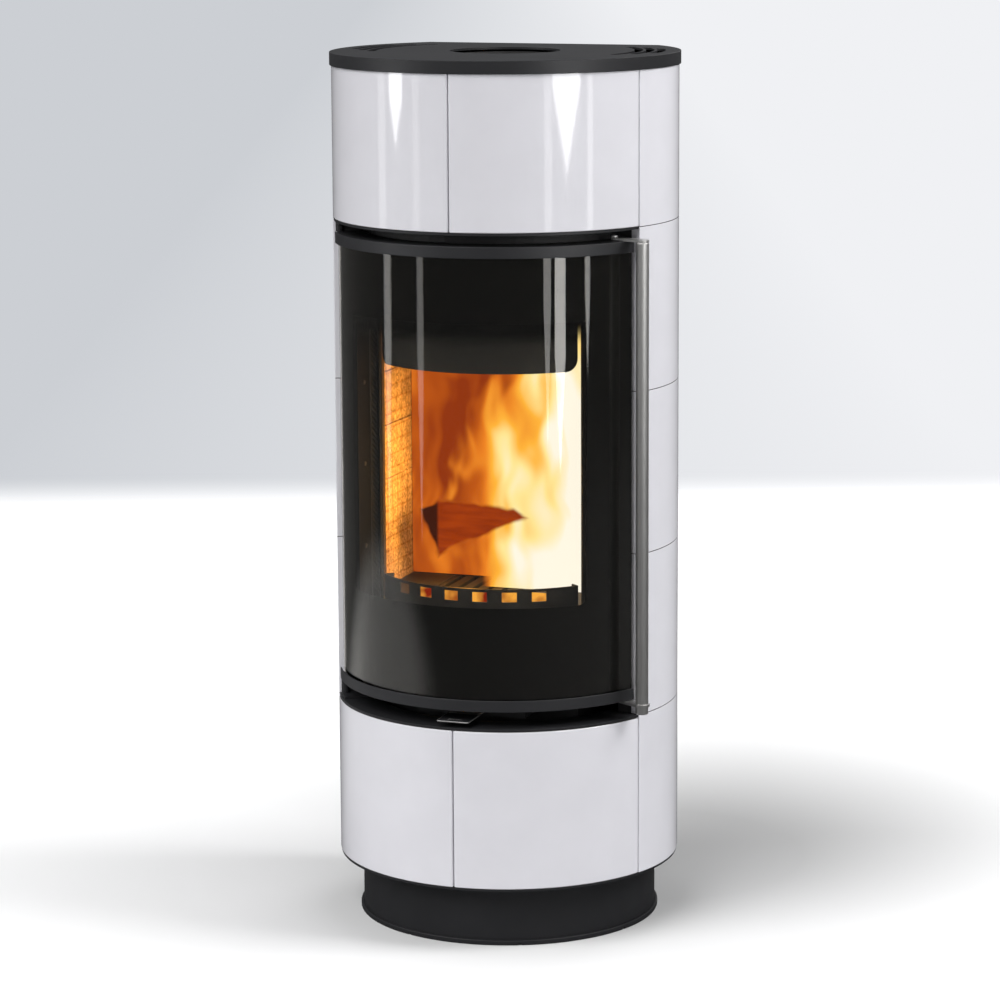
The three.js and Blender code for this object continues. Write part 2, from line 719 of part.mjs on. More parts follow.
// ---- Log retainer and airwash deflector ----
const retainerOuter = frontRadius - plate - seat;
const retainerInner = retainerOuter - sheet;
const retainerCutters = [];
for (let i = 0; i < retainerSlots; i += 1) {
  const middle = (i - (retainerSlots - 1) / 2) * retainerPitch;
  const half = deg(retainerSlotWidth / 2 / retainerOuter);
  retainerCutters.push(extrude(
    sector(retainerInner - sheet, retainerOuter + sheet, middle - half, middle + half),
    retainerTop - retainerRail - retainerSlotHeight, retainerTop - retainerRail,
  ));
}
const foldAngle = deg(sheet / retainerOuter);
part('log_retainer', cut(
  join(
    extrude(sector(retainerInner, retainerOuter, -retainerHalfAngle, retainerHalfAngle),
      hearthTop + seat, retainerTop),
    extrude(sector(retainerInner - retainerFold, retainerOuter, -retainerHalfAngle,
      foldAngle - retainerHalfAngle), hearthTop + seat, retainerTop),
    extrude(sector(retainerInner - retainerFold, retainerOuter, retainerHalfAngle - foldAngle,
      retainerHalfAngle), hearthTop + seat, retainerTop),
  ),
  ...retainerCutters,
), innerSteel);

// The deflector's lower corners are rounded: a curved plate cut by the two corner shapes.
const deflectorHalfAngle = retainerHalfAngle;
function cornerCutter(side) {
  const end = deflectorHalfAngle;
  const width = deg(deflectorCorner / retainerOuter);
  const cutters = [];
  const steps = 4;
  for (let i = 0; i < steps; i += 1) {
    const near = width * i / steps;
    const far = width * (i + 1) / steps;
    const inset = 1 - (i + 0.5) / steps;
    const height = deflectorCorner * (1 - Math.sqrt(1 - inset * inset));
    const from = side > 0 ? end - far : near - end;
    const to = side > 0 ? end - near : far - end;
    const past = i === 0 ? cutPast : 0;
    cutters.push(extrude(
      sector(retainerInner - sheet, retainerOuter + sheet,
        from - (side < 0 ? past : 0), to + (side > 0 ? past : 0)),
      deflectorBottom - cutPast, deflectorBottom + height,
    ));
  }
  return cutters;
}
part('airwash_deflector', cut(
  extrude(sector(retainerInner, retainerOuter, -deflectorHalfAngle, deflectorHalfAngle),
    deflectorBottom, deflectorTop),
  ...cornerCutter(-1),
  ...cornerCutter(1),
), innerSteel);

// ---- Pedestal, air box, duct and ash pan ----
const pedestalX = fireboxHalfWidth - pedestalInset;
const pedestalFrontY = fireboxFrontY - pedestalFrontStep;
const airBoxBackY = ductY + ductRadius + airBoxRearGap;
const pedestalBackY = airBoxBackY + pedestalRearGap;
// Depth, on the faceted inside of the front plate, of a box with this half width.
const frontInside = (frontRadius - plate) * Math.cos(rad(arcStep / 2));
function frontDepth(halfWidth) {
  return Math.sqrt(frontInside ** 2 - halfWidth ** 2);
}
const airBoxFrontY = airBoxFrontGap - frontDepth(airBoxHalfWidth);
part('pedestal_frame', cut(
  extrude(rectangle(-pedestalX, pedestalX, pedestalFrontY, pedestalBackY), firstTileZ, fireboxBottom - seat),
  extrude(rectangle(plate - pedestalX, pedestalX - plate, pedestalFrontY + plate, pedestalBackY - plate),
    0, totalHeight),
  box(-airBoxHalfWidth - shellGap, airBoxHalfWidth + shellGap, -totalHeight, 0,
    sillTop, fireboxBottom),
), innerSteel);
const airBoxZ = sillTop + seat;
const airBoxTop = fireboxBottom - seat;
const leverTop = leverZ + leverThickness;
const leverPocketY = leverRearY + leverPocket;
const lidZ = airBoxTop - sheet;
part('air_box', cut(
  box(-airBoxHalfWidth, airBoxHalfWidth, airBoxFrontY, airBoxBackY, airBoxZ, lidZ - seat),
  box(sheet - airBoxHalfWidth, airBoxHalfWidth - sheet, airBoxFrontY + sheet, airBoxBackY - sheet,
    leverTop + leverGuide + sheet, airBoxTop),
  box(-leverWidth / 2 - leverGuide, leverWidth / 2 + leverGuide, 2 * airBoxFrontY, leverPocketY,
    leverZ - leverGuide, leverTop + leverGuide),
  box(-leverWidth / 4, leverWidth / 4, valveY - valveLap, leverPocketY - valveRadius, leverZ, airBoxTop),
  rod(ductRadius - sheet, ductCentre, 0, airBoxTop, 24),
), innerSteel);
part('air_box_lid', cut(
  box(-airBoxHalfWidth, airBoxHalfWidth, airBoxFrontY, airBoxBackY, lidZ, airBoxTop),
  box(-airBoxHalfWidth / 2, airBoxHalfWidth / 2, 0, ductY, lidZ - cutPast, airBoxTop + cutPast),
), innerSteel);
part('air_lever', cut(
  extrude(rectangle(-leverWidth / 2, leverWidth / 2, -tileRadius, leverRearY), leverZ, leverTop),
  rod(valveRadius, new THREE.Vector2(0, valveY), 0, totalHeight, 16),
), stainless);
part('air_inlet_duct', turned([
  [ductRadius, plate + seat],
  [ductRadius, airBoxZ - seat],
  [ductRadius - sheet, airBoxZ - seat],
  [ductRadius - sheet, plate + seat],
], ductCentre, 24), innerSteel);

const panZ = fireboxBottom + plate + seat;
const panFrontY = panFrontGap - frontDepth(panHalfWidth);
const panBackY = liningBackY - liningThickness - panRearGap;
part('ash_pan', cut(
  extrude(rectangle(-panHalfWidth, panHalfWidth, panFrontY, panBackY), panZ, panZ + panHeight, sheet / 2),
  box(sheet - panHalfWidth, panHalfWidth - sheet, panFrontY + sheet, panBackY - sheet,
    panZ + sheet, panZ + 2 * panHeight),
), innerSteel);

// ---- Door ----
const hinge = at(hingeRadius, hingeAngle);
const latch = at(latchRadius, latchAngle);
const shaftHole = shaftRadius + pinClearance;
const pinHole = hingePinRadius + pinClearance;
const cheekAngle = deg(sheet / glassRadius);
const cheekOuter = glassRadius - glassThickness - cheekGap;
function cheekWall(side) {
  const from = side > 0 ? doorHalfAngle - cheekAngle : -doorHalfAngle;
  return extrude(sector(doorBackInner, cheekOuter, from, from + cheekAngle), doorBottom, doorTop);
}
const fingerSlots = latchHeights.map((z) => {
  const room = 2 * armThickness;
  const slot = box(-fingerRoom / 2, fingerRoom / 2, -fingerRoom, fingerRoom, z - room, z + room);
  slot.rotateZ(rad(latchAngle));
  const place = at(doorBackRadius - fingerRoom / 2 + sheet, latchAngle);
  slot.translate(place.x, place.y, 0);
  return slot;
});
part('door_frame', cut(
  join(
    extrude(sector(doorBackInner, doorBackRadius, -doorHalfAngle, doorHalfAngle), doorBottom, doorTop),
    extrude(sector(doorBackInner, doorRadius - sheet - seat, -doorHalfAngle, doorHalfAngle),
      doorTop - plate, doorTop),
    extrude(sector(doorBackInner, doorRadius - sheet - seat, -doorHalfAngle, doorHalfAngle),
      doorBottom, doorBottom + plate),
    cheekWall(-1),
    cheekWall(1),
  ),
  extrude(sector(doorBackInner - plate, doorBackRadius + plate, -windowHalfAngle, windowHalfAngle),
    windowBottom, windowTop),
  rod(pinHole, hinge, 0, totalHeight, 16),
  rod(shaftHole, latch, 0, totalHeight, 16),
  ...fingerSlots,
), greySteel);
for (const [name, z0] of [['upper', doorTop - bandHeight], ['lower', doorBottom]]) {
  part(`door_${name}_band`, extrude(
    sector(doorRadius - sheet, doorRadius, -doorHalfAngle, doorHalfAngle), z0, z0 + bandHeight,
  ), greySteel);
}
const glassBottom = doorBottom + plate + seat;
const glassTop = doorTop - plate - seat;
part('door_glass', extrude(
  sector(glassRadius - glassThickness, glassRadius, -doorHalfAngle, doorHalfAngle), glassBottom, glassTop,
), ceramicGlass);
for (const [name, z0] of [['upper', glassTop - clampHeight], ['lower', glassBottom]]) {
  part(`glass_clamp_${name}`, extrude(
    sector(glassRadius - glassThickness - seat - plate, glassRadius - glassThickness - seat,
      clampMargins[0] - doorHalfAngle, doorHalfAngle - latchEnd - clampMargins[1] * 2), z0, z0 + clampHeight,
  ), greySteel);
}
const sealInner = windowHalfAngle + deg(sheet / doorBackRadius);
const sealAngle = deg(sealWidth / doorBackRadius);
const sealBottom = ashOpeningBottom - sealOverlap;
const sealTop = windowTop + sealOverlap;
part('door_seal', cut(
  extrude(sector(doorBackInner - seat - sealThickness, doorBackInner - seat, -sealInner - sealAngle,
    sealInner + sealAngle), sealBottom - sealWidth, sealTop + sealWidth),
  extrude(sector(frontRadius - plate, doorBackInner + plate, -sealInner, sealInner), sealBottom, sealTop),
), rope);

// Hinge brackets: a plate with the pin, above and below the door.
const pinBite = plate - shellGap;
const bracketTop = upperCarrierZ - seat;
const bracketFoot = sector(flangeRadius + sheet, glassRadius + bossRadius / 2,
  hingeAngle + bracketSpan, hingeAngle - bracketEnd);
part('hinge_bracket_upper', join(
  rod(bossRadius, hinge, doorTop + shellGap, bracketTop, 16),
  rod(hingePinRadius, hinge, doorTop - pinBite, bracketTop, 16),
  extrude(bracketFoot, bracketTop - plate, bracketTop),
), blackSteel);
part('hinge_bracket_lower', join(
  rod(bossRadius, hinge, sillTop + seat, doorBottom - shellGap, 16),
  rod(hingePinRadius, hinge, sillTop + seat, doorBottom + pinBite, 16),
  extrude(bracketFoot, sillTop + seat, sillTop + seat + plate),
), blackSteel);

// ---- Handle, latch shaft and catches ----
const barCentre = at(handleRadius, handleAngle);
const upperArmZ = doorTop + shellGap;
const lowerArmZ = doorBottom - shellGap - armThickness;
const barTop = upperArmZ - seat;
const barBottom = lowerArmZ - barTail;
part('handle_bar', turned([
  [0, barBottom], [barRadius - barEase, barBottom], [barRadius, barBottom + barEase],
  [barRadius, barTop], [0, barTop],
], barCentre, 20), stainless);
// A flat arm that tapers from the bar to the latch shaft.
function armPlan(barEnd, shaftEnd) {
  const along = barCentre.clone().sub(latch).normalize();
  const across = new THREE.Vector2(-along.y, along.x);
  const points = [];
  const turns = 6;
  for (let i = 0; i <= turns; i += 1) {
    const turn = Math.PI * (i / turns - 0.5);
    points.push(barCentre.clone().addScaledVector(along, barEnd * Math.cos(turn))
      .addScaledVector(across, barEnd * Math.sin(turn)));
  }
  for (let i = 0; i <= turns; i += 1) {
    const turn = Math.PI * (i / turns + 0.5);
    points.push(latch.clone().addScaledVector(along, shaftEnd * Math.cos(turn))
      .addScaledVector(across, shaftEnd * Math.sin(turn)));
  }
  return new THREE.Shape(points);
}
const shaftEye = shaftRadius + armEdge;
part('handle_arm_upper', join(
  extrude(armPlan(barRadius, shaftEye), upperArmZ, upperArmZ + armThickness),
  rod(pivotScrewRadius, latch, upperArmZ, upperArmZ + armThickness + pivotScrewHead, 16),
), stainless);
part('handle_arm_lower', cut(
  extrude(armPlan(barRadius + armEye, shaftEye), lowerArmZ, lowerArmZ + armThickness),
  rod(barRadius + seat, barCentre, 0, totalHeight, 20),
), stainless);
const fingerAlong = at(1, latchAngle).negate();
const fingerTip = latch.clone().addScaledVector(fingerAlong, fingerReach);
// A latch finger: a flat bar from the shaft with a round tip.
function finger(z) {
  const across = new THREE.Vector2(-fingerAlong.y, fingerAlong.x).multiplyScalar(fingerWidth / 2);
  const outline = new THREE.Shape([
    latch.clone().add(across), fingerTip.clone().add(across),
    fingerTip.clone().sub(across), latch.clone().sub(across),
  ]);
  return [
    extrude(outline, z - armThickness / 2, z + armThickness / 2),
    rod(fingerWidth / 2, fingerTip, z - armThickness / 2, z + armThickness / 2, 16),
  ];
}
part('latch_shaft', join(
  rod(shaftRadius, latch, lowerArmZ + armThickness + seat, upperArmZ - seat, 16),
  ...latchHeights.flatMap(finger),
), innerSteel);
// Catch studs stand on the front plate, beside the tips of the closed latch.
const studCentre = new THREE.Vector2(fingerTip.x - fingerWidth / 2 - studRadius - studClearance, fingerTip.y);
const studFoot = at(frontRadius + seat, deg(Math.atan2(studCentre.x, -studCentre.y)));
['lower', 'upper'].forEach((name, i) => {
  const z = latchHeights[i];
  const footSide = new THREE.Vector2(-studFoot.y, studFoot.x).normalize().multiplyScalar(studRadius);
  const web = new THREE.Shape([
    studFoot.clone().sub(footSide), studFoot.clone().add(footSide),
    studCentre.clone().add(footSide), studCentre.clone().sub(footSide),
  ]);
  part(`catch_stud_${name}`, join(
    rod(studRadius, studCentre, z - studHalfHeight, z + studHalfHeight, 16),
    extrude(web, z - studHalfHeight, z - studHalfHeight + studWeb),
    extrude(web, z + studHalfHeight - studWeb, z + studHalfHeight),
  ), innerSteel);
});

export default stove;
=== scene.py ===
"""Looks of the tiled wood stove: glazed tiles, curved glass door, steel and cast parts, camera and lights.

Every length is in metres. An angle in plan is measured from the front (-Y), positive towards +X.
"""
import json
import math

import bmesh
import bpy
from bpy.props import FloatProperty, FloatVectorProperty, IntProperty, PointerProperty
from mathutils import Matrix, Vector


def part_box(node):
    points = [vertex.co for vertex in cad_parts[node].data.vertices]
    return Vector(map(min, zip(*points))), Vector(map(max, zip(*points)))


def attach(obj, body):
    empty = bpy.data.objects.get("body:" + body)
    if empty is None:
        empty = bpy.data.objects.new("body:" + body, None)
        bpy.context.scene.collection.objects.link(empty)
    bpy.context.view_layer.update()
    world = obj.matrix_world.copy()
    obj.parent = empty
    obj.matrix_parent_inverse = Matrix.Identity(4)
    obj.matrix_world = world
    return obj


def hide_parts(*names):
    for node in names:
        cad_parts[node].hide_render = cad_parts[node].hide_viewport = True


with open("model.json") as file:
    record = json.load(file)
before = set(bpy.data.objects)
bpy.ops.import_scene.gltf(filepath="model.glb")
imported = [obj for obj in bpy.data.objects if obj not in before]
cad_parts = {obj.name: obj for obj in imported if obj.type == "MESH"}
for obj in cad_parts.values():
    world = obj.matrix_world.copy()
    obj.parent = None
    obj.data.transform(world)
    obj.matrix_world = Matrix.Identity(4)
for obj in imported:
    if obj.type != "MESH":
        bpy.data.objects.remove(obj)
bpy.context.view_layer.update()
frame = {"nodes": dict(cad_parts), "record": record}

bl_info = {
    "name": "Tiled stove",
    "version": (1, 0, 0),
    "blender": (4, 5, 0),
    "location": "3D View > Sidebar > Tiled stove",
    "description": "Models the tiled stove's visible pieces and finishes round its frame",
    "category": "Object",
}

MM = 0.001
UP = Vector((0, 0, 1))
AXIS = Vector((0, 0))
QUARTER = math.pi / 2
TILE_RINGS = 5
SIDES = (("right", 1), ("left", -1))
BLACK = (0, 0, 0)
WHITE = (1, 1, 1)


def linear(hex_colour):
    """An sRGB hex colour as the linear red, green and blue that Blender's sockets take."""
    channels = [int(hex_colour[i:i + 2], 16) / 255 for i in (1, 3, 5)]
    return tuple(c / 12.92 if c <= 0.04045 else ((c + 0.055) / 1.055) ** 2.4 for c in channels)


def low(node, axis=2):
    """The lowest coordinate of a node of the frame."""
    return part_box(node)[0][axis]


def high(node, axis=2):
    """The highest coordinate of a node of the frame."""
    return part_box(node)[1][axis]


def span(node, axis=2):
    """The lowest and the highest coordinate of a node of the frame."""
    return low(node, axis), high(node, axis)


# ---- Sizes and colours that a user would change ----
def length_property(name, description, millimetres):
    return FloatProperty(name=name, description=description, default=millimetres * MM, unit="LENGTH")


def angle_property(name, description, degrees):
    return FloatProperty(name=name, description=description, default=math.radians(degrees), subtype="ANGLE")


def colour_property(name, description, hex_colour):
    return FloatVectorProperty(name=name, description=description, subtype="COLOR", size=3, min=0, max=1,
                               default=linear(hex_colour))


class StoveSizes(bpy.types.PropertyGroup):
    """Radii, walls and angles of the curved pieces; heights come from the frame."""

    tile_radius: length_property("Tile radius", "Glazed face of the tiles", 245)
    tile_thickness: length_property("Tile thickness", "Wall of a tile", 15)
    tile_edge: length_property("Tile edge", "Rounding of the glazed edges", 2.2)
    tile_joint: length_property("Tile joint", "Open joint between two tiles of a ring", 1.5)
    bay_angle: angle_property("Door bay", "Half of the door bay, from the front", 67)
    back_y: length_property("Flat back", "Depth of the column's flat back", 168.5)
    top_radius: length_property("Top plate radius", "Outside of the rolled rim", 247.5)
    rim_round: length_property("Rim rounding", "Rounding of the rolled rim", 2.2)
    slot_width: length_property("Grille slot", "Width of a curved slot in the top plate", 12)
    plinth_radius: length_property("Plinth radius", "Outside of the plinth wall", 212)
    lip_radius: length_property("Lip radius", "Outside of the base lip", 216.3)
    door_radius: length_property("Door radius", "Face of the door's bands", 243)
    door_angle: angle_property("Door half angle", "End of the door, from the front", 65)
    glass_radius: length_property("Glass radius", "Face of the curved glass", 238.5)
    glass_thickness: length_property("Glass thickness", "Wall of the curved glass", 4)
    clear_angle: angle_property("Clear window", "Half of the clear part of the glass", 46.4)
    clear_bottom: length_property("Clear bottom", "Lower edge of the clear part", 488)
    clear_top: length_property("Clear top", "Upper edge of the clear part", 886)
    fade_height: length_property("Fade", "Height over which the print thins out at the top", 36)
    bar_radius: length_property("Bar radius", "Handle bar", 9)
    arc_step: angle_property("Arc step", "Turn of one facet on a curved piece", 1.25)
    bevel_steps: IntProperty(name="Bevel steps", description="Facets of a rounded edge", default=3, min=1)


class StoveColours(bpy.types.PropertyGroup):
    """Base colours of the finishes, linear."""

    glaze: colour_property("Glaze", "White glaze with a cool cast", "#e6e5ea")
    # Dark colour of the tiles' upper and lower edges, which stands as painted shade in the joints
    body: colour_property("Tile body", "Bare stoneware at the edges of the tiles", "#3a3633")
    black_coat: colour_property("Black coat", "Matt black coat of plinth and top plate", "#272729")
    grey_coat: colour_property("Grey coat", "Dark grey coat of the door's bands", "#29292b")
    inner_coat: colour_property("Inner coat", "Heat-proof coat inside the stove", "#2a2a2b")
    steel: colour_property("Stainless steel", "Brushed handle, arms and air tab", "#c0bfbd")
    iron: colour_property("Cast iron", "Grate, hearth and flue collar", "#2c2b2b")
    vermiculite: colour_property("Vermiculite", "Lining plates", "#b3946a")
    rope: colour_property("Rope", "Braided glass-fibre door seal", "#1d1c1b")
    enamel: colour_property("Enamel", "Black print on the glass", "#0b0b0c")
    glass: colour_property("Glass", "Ceramic glass, faintly amber", "#f2ede2")


def sizes():
    return bpy.context.scene.stove_sizes


def colours():
    return bpy.context.scene.stove_colours


# ---- Modelling helpers ----
def at(radius, angle, z=0.0):
    """A point in plan, at a height."""
    return Vector((radius * math.sin(angle), -radius * math.cos(angle), z))


def spaced(count, pitch):
    """Evenly spaced places on both sides of zero."""
    return [(number - (count - 1) / 2) * pitch for number in range(count)]


def deselect():
    """Nothing is selected and nothing is active, so an operator meets only what is new."""
    if bpy.context.mode != "OBJECT":
        bpy.ops.object.mode_set(mode="OBJECT")
    bpy.ops.object.select_all(action="DESELECT")


def activate(piece, *others):
    deselect()
    for other in others:
        other.select_set(True)
    piece.select_set(True)
    bpy.context.view_layer.objects.active = piece


def edit(piece, kind="EDGE", select="DESELECT"):
    """Opens a piece in edit mode with nothing or all of it selected, and returns its mesh."""
    activate(piece)
    bpy.ops.object.mode_set(mode="EDIT")
    bpy.ops.mesh.select_mode(type=kind)
    bpy.ops.mesh.select_all(action=select)
    return bmesh.from_edit_mesh(piece.data)


def close_edit(piece):
    bmesh.update_edit_mesh(piece.data)
    bpy.ops.object.mode_set(mode="OBJECT")


def heal(piece):
    """Merges doubles and turns every face outwards."""
    edit(piece, "VERT", "SELECT")
    bpy.ops.mesh.remove_doubles(threshold=1e-6)
    bpy.ops.mesh.normals_make_consistent(inside=False)
    close_edit(piece)
    return piece


def reshape(piece, operator, **settings):
    """Runs an operator of edit mode on the whole piece."""
    edit(piece, "FACE", "SELECT")
    operator(**settings)
    close_edit(piece)
    return heal(piece)


def new_piece(name, scale=(1, 1, 1)):
    """Names the mesh that was just added, and settles its size and place into it."""
    piece = bpy.context.active_object
    piece.name = name
    piece.scale = scale
    activate(piece)
    bpy.ops.object.transform_apply(location=True, rotation=True, scale=True)
    return piece


def plane(name, centre, turn, width, height):
    """An upright flat sheet, turned about the vertical."""
    deselect()
    bpy.ops.mesh.primitive_plane_add(size=1, location=centre, rotation=(QUARTER, 0, turn))
    return new_piece(name, (width, height, 1))


def block(name, lower, upper, turn=0.0):
    """A box between two corners, turned about its own upright middle line."""
    deselect()
    lower, upper = Vector(lower), Vector(upper)
    bpy.ops.mesh.primitive_cube_add(size=1, location=(lower + upper) / 2, rotation=(0, 0, turn))
    return new_piece(name, upper - lower)


def cylinder(name, radius, centre, depth, sides=48, turn=(0, 0, 0)):
    deselect()
    bpy.ops.mesh.primitive_cylinder_add(vertices=sides, radius=radius, depth=depth, location=centre,
                                        rotation=turn)
    return new_piece(name)


def rod(name, radius, centre, z0, z1, sides=48):
    """An upright rod."""
    return cylinder(name, radius, (centre.x, centre.y, (z0 + z1) / 2), z1 - z0, sides)


def spoke(name, radius, inner, outer, angle, z):
    """A rod that points at the column's axis."""
    return cylinder(name, radius, at((inner + outer) / 2, angle, z), outer - inner, 40, (QUARTER, 0, angle))


def curved(name, inner, outer, z0, z1, start, end):
    """A flat section turned about the column's axis: a curved bar, sheet or tile."""
    centre = at((inner + outer) / 2, start, (z0 + z1) / 2)
    piece = plane(name, centre, start - QUARTER, outer - inner, z1 - z0)
    steps = max(2, round(abs(end - start) / sizes().arc_step))
    return reshape(piece, bpy.ops.mesh.spin, steps=steps, angle=end - start, center=(0, 0, 0), axis=-UP)


def flat_back(piece, back_y):
    """Cuts off what lies behind a depth, and closes the cut."""
    return reshape(piece, bpy.ops.mesh.bisect, plane_co=(0, back_y, 0), plane_no=(0, 1, 0), use_fill=True,
                   clear_outer=True)


def backed_disc(name, radius, back_y, z0, z1, sides=240):
    """A disc with a flat back."""
    return flat_back(rod(name, radius, AXIS, z0, z1, sides), back_y)


def ring(name, inner, outer, z0, z1):
    """A round tube."""
    tube = rod(name, outer, AXIS, z0, z1, 120)
    return cut(tube, rod("inside", inner, AXIS, z0 - outer, z1 + outer, 120))


def apply_modifier(piece, kind, **settings):
    modifier = piece.modifiers.new(kind.title(), kind)
    for key, value in settings.items():
        setattr(modifier, key, value)
    activate(piece)
    bpy.ops.object.modifier_apply(modifier=modifier.name)
    return piece


def combine(piece, operation, others):
    """Adds the other pieces or cuts them out, and removes them."""
    for other in others:
        apply_modifier(piece, "BOOLEAN", operation=operation, object=other, solver="EXACT")
        bpy.data.objects.remove(other)
    return piece


def cut(piece, *tools):
    return combine(piece, "DIFFERENCE", tools)


def unite(piece, *others):
    return combine(piece, "UNION", others)


def join(name, pieces):
    """Puts loose pieces into one object."""
    activate(*pieces)
    bpy.ops.object.join()
    pieces[0].name = name
    return pieces[0]


def round_edges(piece, width, steps=None, angle=35):
    """Rounds every sharp edge and shades the faces smooth between those that stay sharp."""
    apply_modifier(piece, "BEVEL", width=width, segments=steps or sizes().bevel_steps,
                   limit_method="ANGLE", angle_limit=math.radians(angle))
    return smooth(piece)


def smooth(piece, angle=32):
    """Shades smooth up to an angle; large faces set the normals, so that rounded edges don't tilt them."""
    activate(piece)
    bpy.ops.object.shade_smooth_by_angle(angle=math.radians(angle))
    return apply_modifier(piece, "WEIGHTED_NORMAL", keep_sharp=True)


def mirrored(piece, name):
    """A mirror image with its own mesh."""
    twin = piece.copy()
    twin.data = piece.data.copy()
    twin.name = name
    bpy.context.collection.objects.link(twin)
    twin.data.transform(Matrix.Diagonal((-1, 1, 1, 1)))
    return heal(twin)


def dress(piece, slot, *nodes, body="stove_body", look=None):
    """Gives a piece the finish of its slot or another look and its body, and hides the nodes of the frame
    that it stands for.
    """
    piece.data.materials.clear()
    piece.data.materials.append(look or finish(slot))
    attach(piece, body)
    if nodes:
        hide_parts(*nodes)
    return piece


# ---- Nodes ----
def add_node(tree, kind, inputs=None, **settings):
    """Adds a node with its settings. An input takes a value, or a link from another node's output."""
    node = tree.nodes.new("ShaderNode" + kind)
    for key, value in settings.items():
        setattr(node, key, value)
    for key, value in (inputs or {}).items():
        if isinstance(value, bpy.types.NodeSocket):
            tree.links.new(value, node.inputs[key])
        else:
            node.inputs[key].default_value = value
    return node


def material(name, draw, *values):
    """The material of this name. On its first use, draw adds its nodes and returns the shader's output."""
    made = bpy.data.materials.get(name)
    if not made:
        made = bpy.data.materials.new(name)
        made.use_nodes = True
        tree = made.node_tree
        tree.nodes.clear()
        add_node(tree, "OutputMaterial", {"Surface": draw(tree, *values)})
    return made


def surface(tree, **inputs):
    """A principled shader. An underscore stands for the space in a socket's name."""
    spaced = {key.replace("_", " "): value for key, value in inputs.items()}
    return add_node(tree, "BsdfPrincipled", spaced).outputs["BSDF"]


def emission(tree, strength, colour=(1, 1, 1, 1)):
    return add_node(tree, "Emission", {"Color": colour, "Strength": strength}).outputs["Emission"]


def coordinates(tree, **mapping):
    """Object coordinates in metres, stretched, turned or moved where a pattern needs it."""
    place = add_node(tree, "TexCoord").outputs["Object"]
    return add_node(tree, "Mapping", {"Vector": place, **mapping}).outputs["Vector"]


def axes(tree, vector):
    """The sockets X, Y and Z of a vector."""
    return add_node(tree, "SeparateXYZ", {"Vector": vector}).outputs


def maths(tree, operation, *values):
    return add_node(tree, "Math", dict(enumerate(values)), operation=operation).outputs["Value"]


def vector_maths(tree, operation, *values, result="Vector", **inputs):
    node = add_node(tree, "VectorMath", {**dict(enumerate(values)), **inputs}, operation=operation)
    return node.outputs[result]


def choice(tree, switch, off, on):
    """One of two colours, or a share of each."""
    return add_node(tree, "Mix", {"Factor": switch, 6: off, 7: on}, data_type="RGBA").outputs[2]


def darkened(tree, colour, tint):
    """A colour multiplied by another."""
    return add_node(tree, "Mix", {"Factor": 1.0, 6: colour, 7: tint}, data_type="RGBA",
                    blend_type="MULTIPLY").outputs[2]


def graded(tree, value, target=(0, 1), source=(0, 1), smoothly=False):
    """A value taken from one range to another. An end may be another node's output."""
    ends = dict(zip(("From Min", "From Max", "To Min", "To Max"), (*source, *target)))
    return add_node(tree, "MapRange", {"Value": value, **ends},
                    interpolation_type="SMOOTHSTEP" if smoothly else "LINEAR").outputs["Result"]


def noise(tree, vector, size, detail=3.0, roughness=0.5):
    """Noise whose grains measure about the given size in metres."""
    return add_node(tree, "TexNoise", {"Vector": vector, "Scale": 1 / size, "Detail": detail,
                                       "Roughness": roughness}).outputs["Fac"]


def ramp(tree, factor, dark, light, start, end):
    """A colour ramp between two linear colours."""
    node = add_node(tree, "ValToRGB", {"Fac": factor})
    for stop, position, colour in zip(node.color_ramp.elements, (start, end), (dark, light)):
        stop.position = position
        stop.color = (*colour, 1)
    return node.outputs["Color"]


def mottled(tree, factor, colour, dark, light, start=0.3, end=0.7):
    """A colour that wavers between two multiples of itself."""
    shades = [[channel * share for channel in colour] for share in (dark, light)]
    return ramp(tree, factor, *shades, start, end)


def bump(tree, height, distance, strength, normal=None):
    """A bump whose hills stand about the given distance in metres, over an earlier bump if there is one."""
    below = {"Normal": normal} if normal else {}
    return add_node(tree, "Bump", {"Height": height, "Distance": distance, "Strength": strength,
                                   **below}).outputs["Normal"]


def stripes(tree, vector, spacing, distortion, **settings):
    """Waves whose crests lie the given spacing apart."""
    scale = 1 / spacing * math.pi / 10
    return add_node(tree, "TexWave", {"Vector": vector, "Scale": scale, "Distortion": distortion},
                    **settings).outputs["Fac"]


# ---- Finishes ----
def glazed_ceramic(tree):
    """Glazed stoneware: a glassy coat over white slip. The eye sees crisp, slightly wavy reflections."""
    place = coordinates(tree)
    speck = noise(tree, place, 1.2 * MM, 2)
    wave = noise(tree, coordinates(tree, Scale=(1, 1, 0.35)), 45 * MM, 1)
    glaze = mottled(tree, noise(tree, place, 60 * MM, 2), colours().glaze, 0.97, 1)
    # The narrow upper and lower edges take a dark body colour: painted shade in the joints, which draws them
    # as dark lines
    facing = axes(tree, add_node(tree, "TexCoord").outputs["Normal"])
    joint_shade = ramp(tree, maths(tree, "ABSOLUTE", facing["Z"]), BLACK, WHITE, 0.4, 0.9)
    return surface(tree, Base_Color=choice(tree, joint_shade, glaze, (*colours().body, 1)), IOR=1.52,
                   Roughness=graded(tree, speck, (0.05, 0.09)),
                   Normal=bump(tree, wave, 0.25 * MM, 0.5, bump(tree, speck, 0.004 * MM, 0.4)))


def powder_coat(tree, coat, rough, gloss):
    """Baked powder coat on steel: an even matt film with a fine pebbled skin that breaks up highlights."""
    place = coordinates(tree)
    pebble = noise(tree, place, 0.9 * MM, 4, 0.6)
    colour = getattr(colours(), coat)
    return surface(tree, Base_Color=mottled(tree, noise(tree, place, 90 * MM, 3), colour, 0.88, 1.08),
                   Roughness=graded(tree, pebble, (rough - 0.06, rough + 0.06)),
                   Normal=bump(tree, pebble, 0.05 * MM, 0.6), IOR=1.5, Specular_IOR_Level=gloss)


